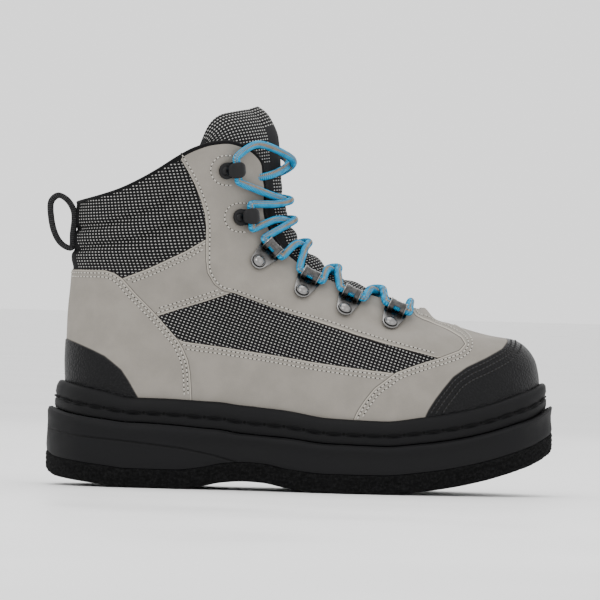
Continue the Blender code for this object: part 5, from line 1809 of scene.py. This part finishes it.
def make_hardware():
    """Four lace rings and two hooks on each side."""
    gunmetal = metal_material("gunmetal_cast", GUNMETAL, 0.26, 1.0)
    black = metal_material("black_enamel", ENAMEL, 0.40, 0.0)
    kinds = (("lace_ring_", RING_PLACES, ring_parts, ring_seat, ring_pit, gunmetal, "gunmetal"),
             ("hook_", HOOK_PLACES, hook_parts, hook_seat, hook_pit, black, "black_metal"))
    for side, word in ((-1, "outer_"), (1, "inner_")):
        for kind, places, parts, seat, pit_at, metal, slot in kinds:
            for row in places:
                node = kind + word + row[0]
                mesh = gathered(node + "_detail", parts(), seat(row, side), pit_at)
                make_piece(node + "_detail", mesh, metal, (node,))


def loop_line():
    """The closed middle line of the pull loop in side view, and the ways across its ribbon's thickness."""
    sewn = skin(np.full(3, math.pi), np.array(LOOP_LEVELS), 2 * CLEARANCE + LOOP_GAUGE / 2)
    line = np.vstack((sewn[:, [0, 2]], side_view(LOOP_LINE)))
    closed = np.vstack((line[-1:], line, line[:2]))
    smooth = rounded(closed, LOOP_STEPS)[LOOP_STEPS:-LOOP_STEPS][:LOOP_STEPS * len(line)]
    ahead = unit(np.roll(smooth, -1, axis=0) - np.roll(smooth, 1, axis=0))
    return smooth, np.column_stack((-ahead[:, 1], ahead[:, 0]))


def loop_material():
    """Black webbing with crosswise ribs."""
    finish = Finish("loop_webbing", WEBBING, 0.9)
    ribs = finish.math("SINE", finish.times(finish.value("run"), 2 * math.pi / WEBBING_RIB))
    ribs = finish.step(ribs, -1.0, 0.8)
    fuzz = finish.step(finish.noise(0.6 * MM, 3), 0.3, 0.7)
    colour = finish.mix(finish.times(ribs, fuzz), WEBBING_DARK, WEBBING_PALE)
    return finish.set(colour=colour, normal=finish.bump(ribs, 0.3 * MM, 0.9)).material


def make_pull_loop():
    """The ribbon loop at the back, with rolled edges and a crosswise weave."""
    smooth, ways = loop_line()
    lower = [(across * MM - LOOP_WIDTH / 2, -lift) for across, lift in LOOP_EDGE]
    lower += [(-across, lift) for across, lift in lower[::-1]]
    section = lower + [(-across, -lift) for across, lift in lower]
    gauge = LOOP_GAUGE * LOOP_SWELL / 2
    rings = []
    for (x, z), (out_x, out_z) in zip(smooth, ways):
        rings.append([(x + out_x * gauge * lift, across, z + out_z * gauge * lift)
                      for across, lift in section])
    points = np.array(rings + rings[:1])
    mesh = mesh_of("pull_loop", points.reshape(-1, 3), grid_faces(*points.shape[:2], closed=True), 50)
    runs = run_lengths(np.vstack((smooth, smooth[:1])))
    add_values(mesh, run=np.repeat(runs, len(section)))
    weld(mesh)
    make_piece("pull_loop_ribbon", mesh, loop_material(), ("pull_loop",))


def make_floor():
    """A plain pale floor."""
    finish = Finish("studio_floor", FLOOR_PALE, 0.9)
    finish.set(roughness=finish.noise(0.3, 2))
    corners = [(x * FLOOR_REACH, y * FLOOR_REACH, 0) for x, y in ((-1, -1), (1, -1), (1, 1), (-1, 1))]
    mesh = mesh_of("studio_floor", corners, [(0, 1, 2, 3)])
    mesh.materials.append(finish.material)
    floor = linked("studio_floor", mesh)
    floor.location.z = -FLOOR_DROP


def make_light():
    """Soft light all round and a few large lamps."""
    world = bpy.data.worlds.new("studio")
    world.use_nodes = True
    back = world.node_tree.nodes["Background"]
    back.inputs["Color"].default_value = (*WHITE, 1)
    back.inputs["Strength"].default_value = WORLD_LIGHT
    bpy.context.scene.world = world
    for name, spot, size, power in LIGHTS:
        lamp = bpy.data.lights.new(name, "AREA")
        lamp.size = size
        lamp.energy = power
        light = linked(name, lamp)
        light.location = spot
        towards = Vector(BOOT_MIDDLE) - Vector(spot)
        light.rotation_euler = towards.to_track_quat("-Z", "Y").to_euler()


def make_camera():
    """The camera of the photograph, rolled as it was."""
    lens = bpy.data.cameras.new("camera")
    lens.lens = CAMERA_LENS
    lens.sensor_width = SENSOR_WIDTH
    camera = linked("camera", lens)
    distance = FRAME_WIDTH * CAMERA_LENS / SENSOR_WIDTH
    place_at = Matrix.Translation((FRAME_MIDDLE[0], FRAME_PLANE - distance, FRAME_MIDDLE[1]))
    camera.matrix_world = (place_at @ Matrix.Rotation(math.pi / 2, 4, "X")
                           @ Matrix.Rotation(CAMERA_ROLL, 4, "Z"))
    bpy.context.scene.camera = camera


make_floor()
make_light()
make_camera()
make_laces()
make_upper()
make_lining()
make_sole()
make_insole()
make_tongue()
make_binding()
make_seams()
make_hardware()
make_pull_loop()
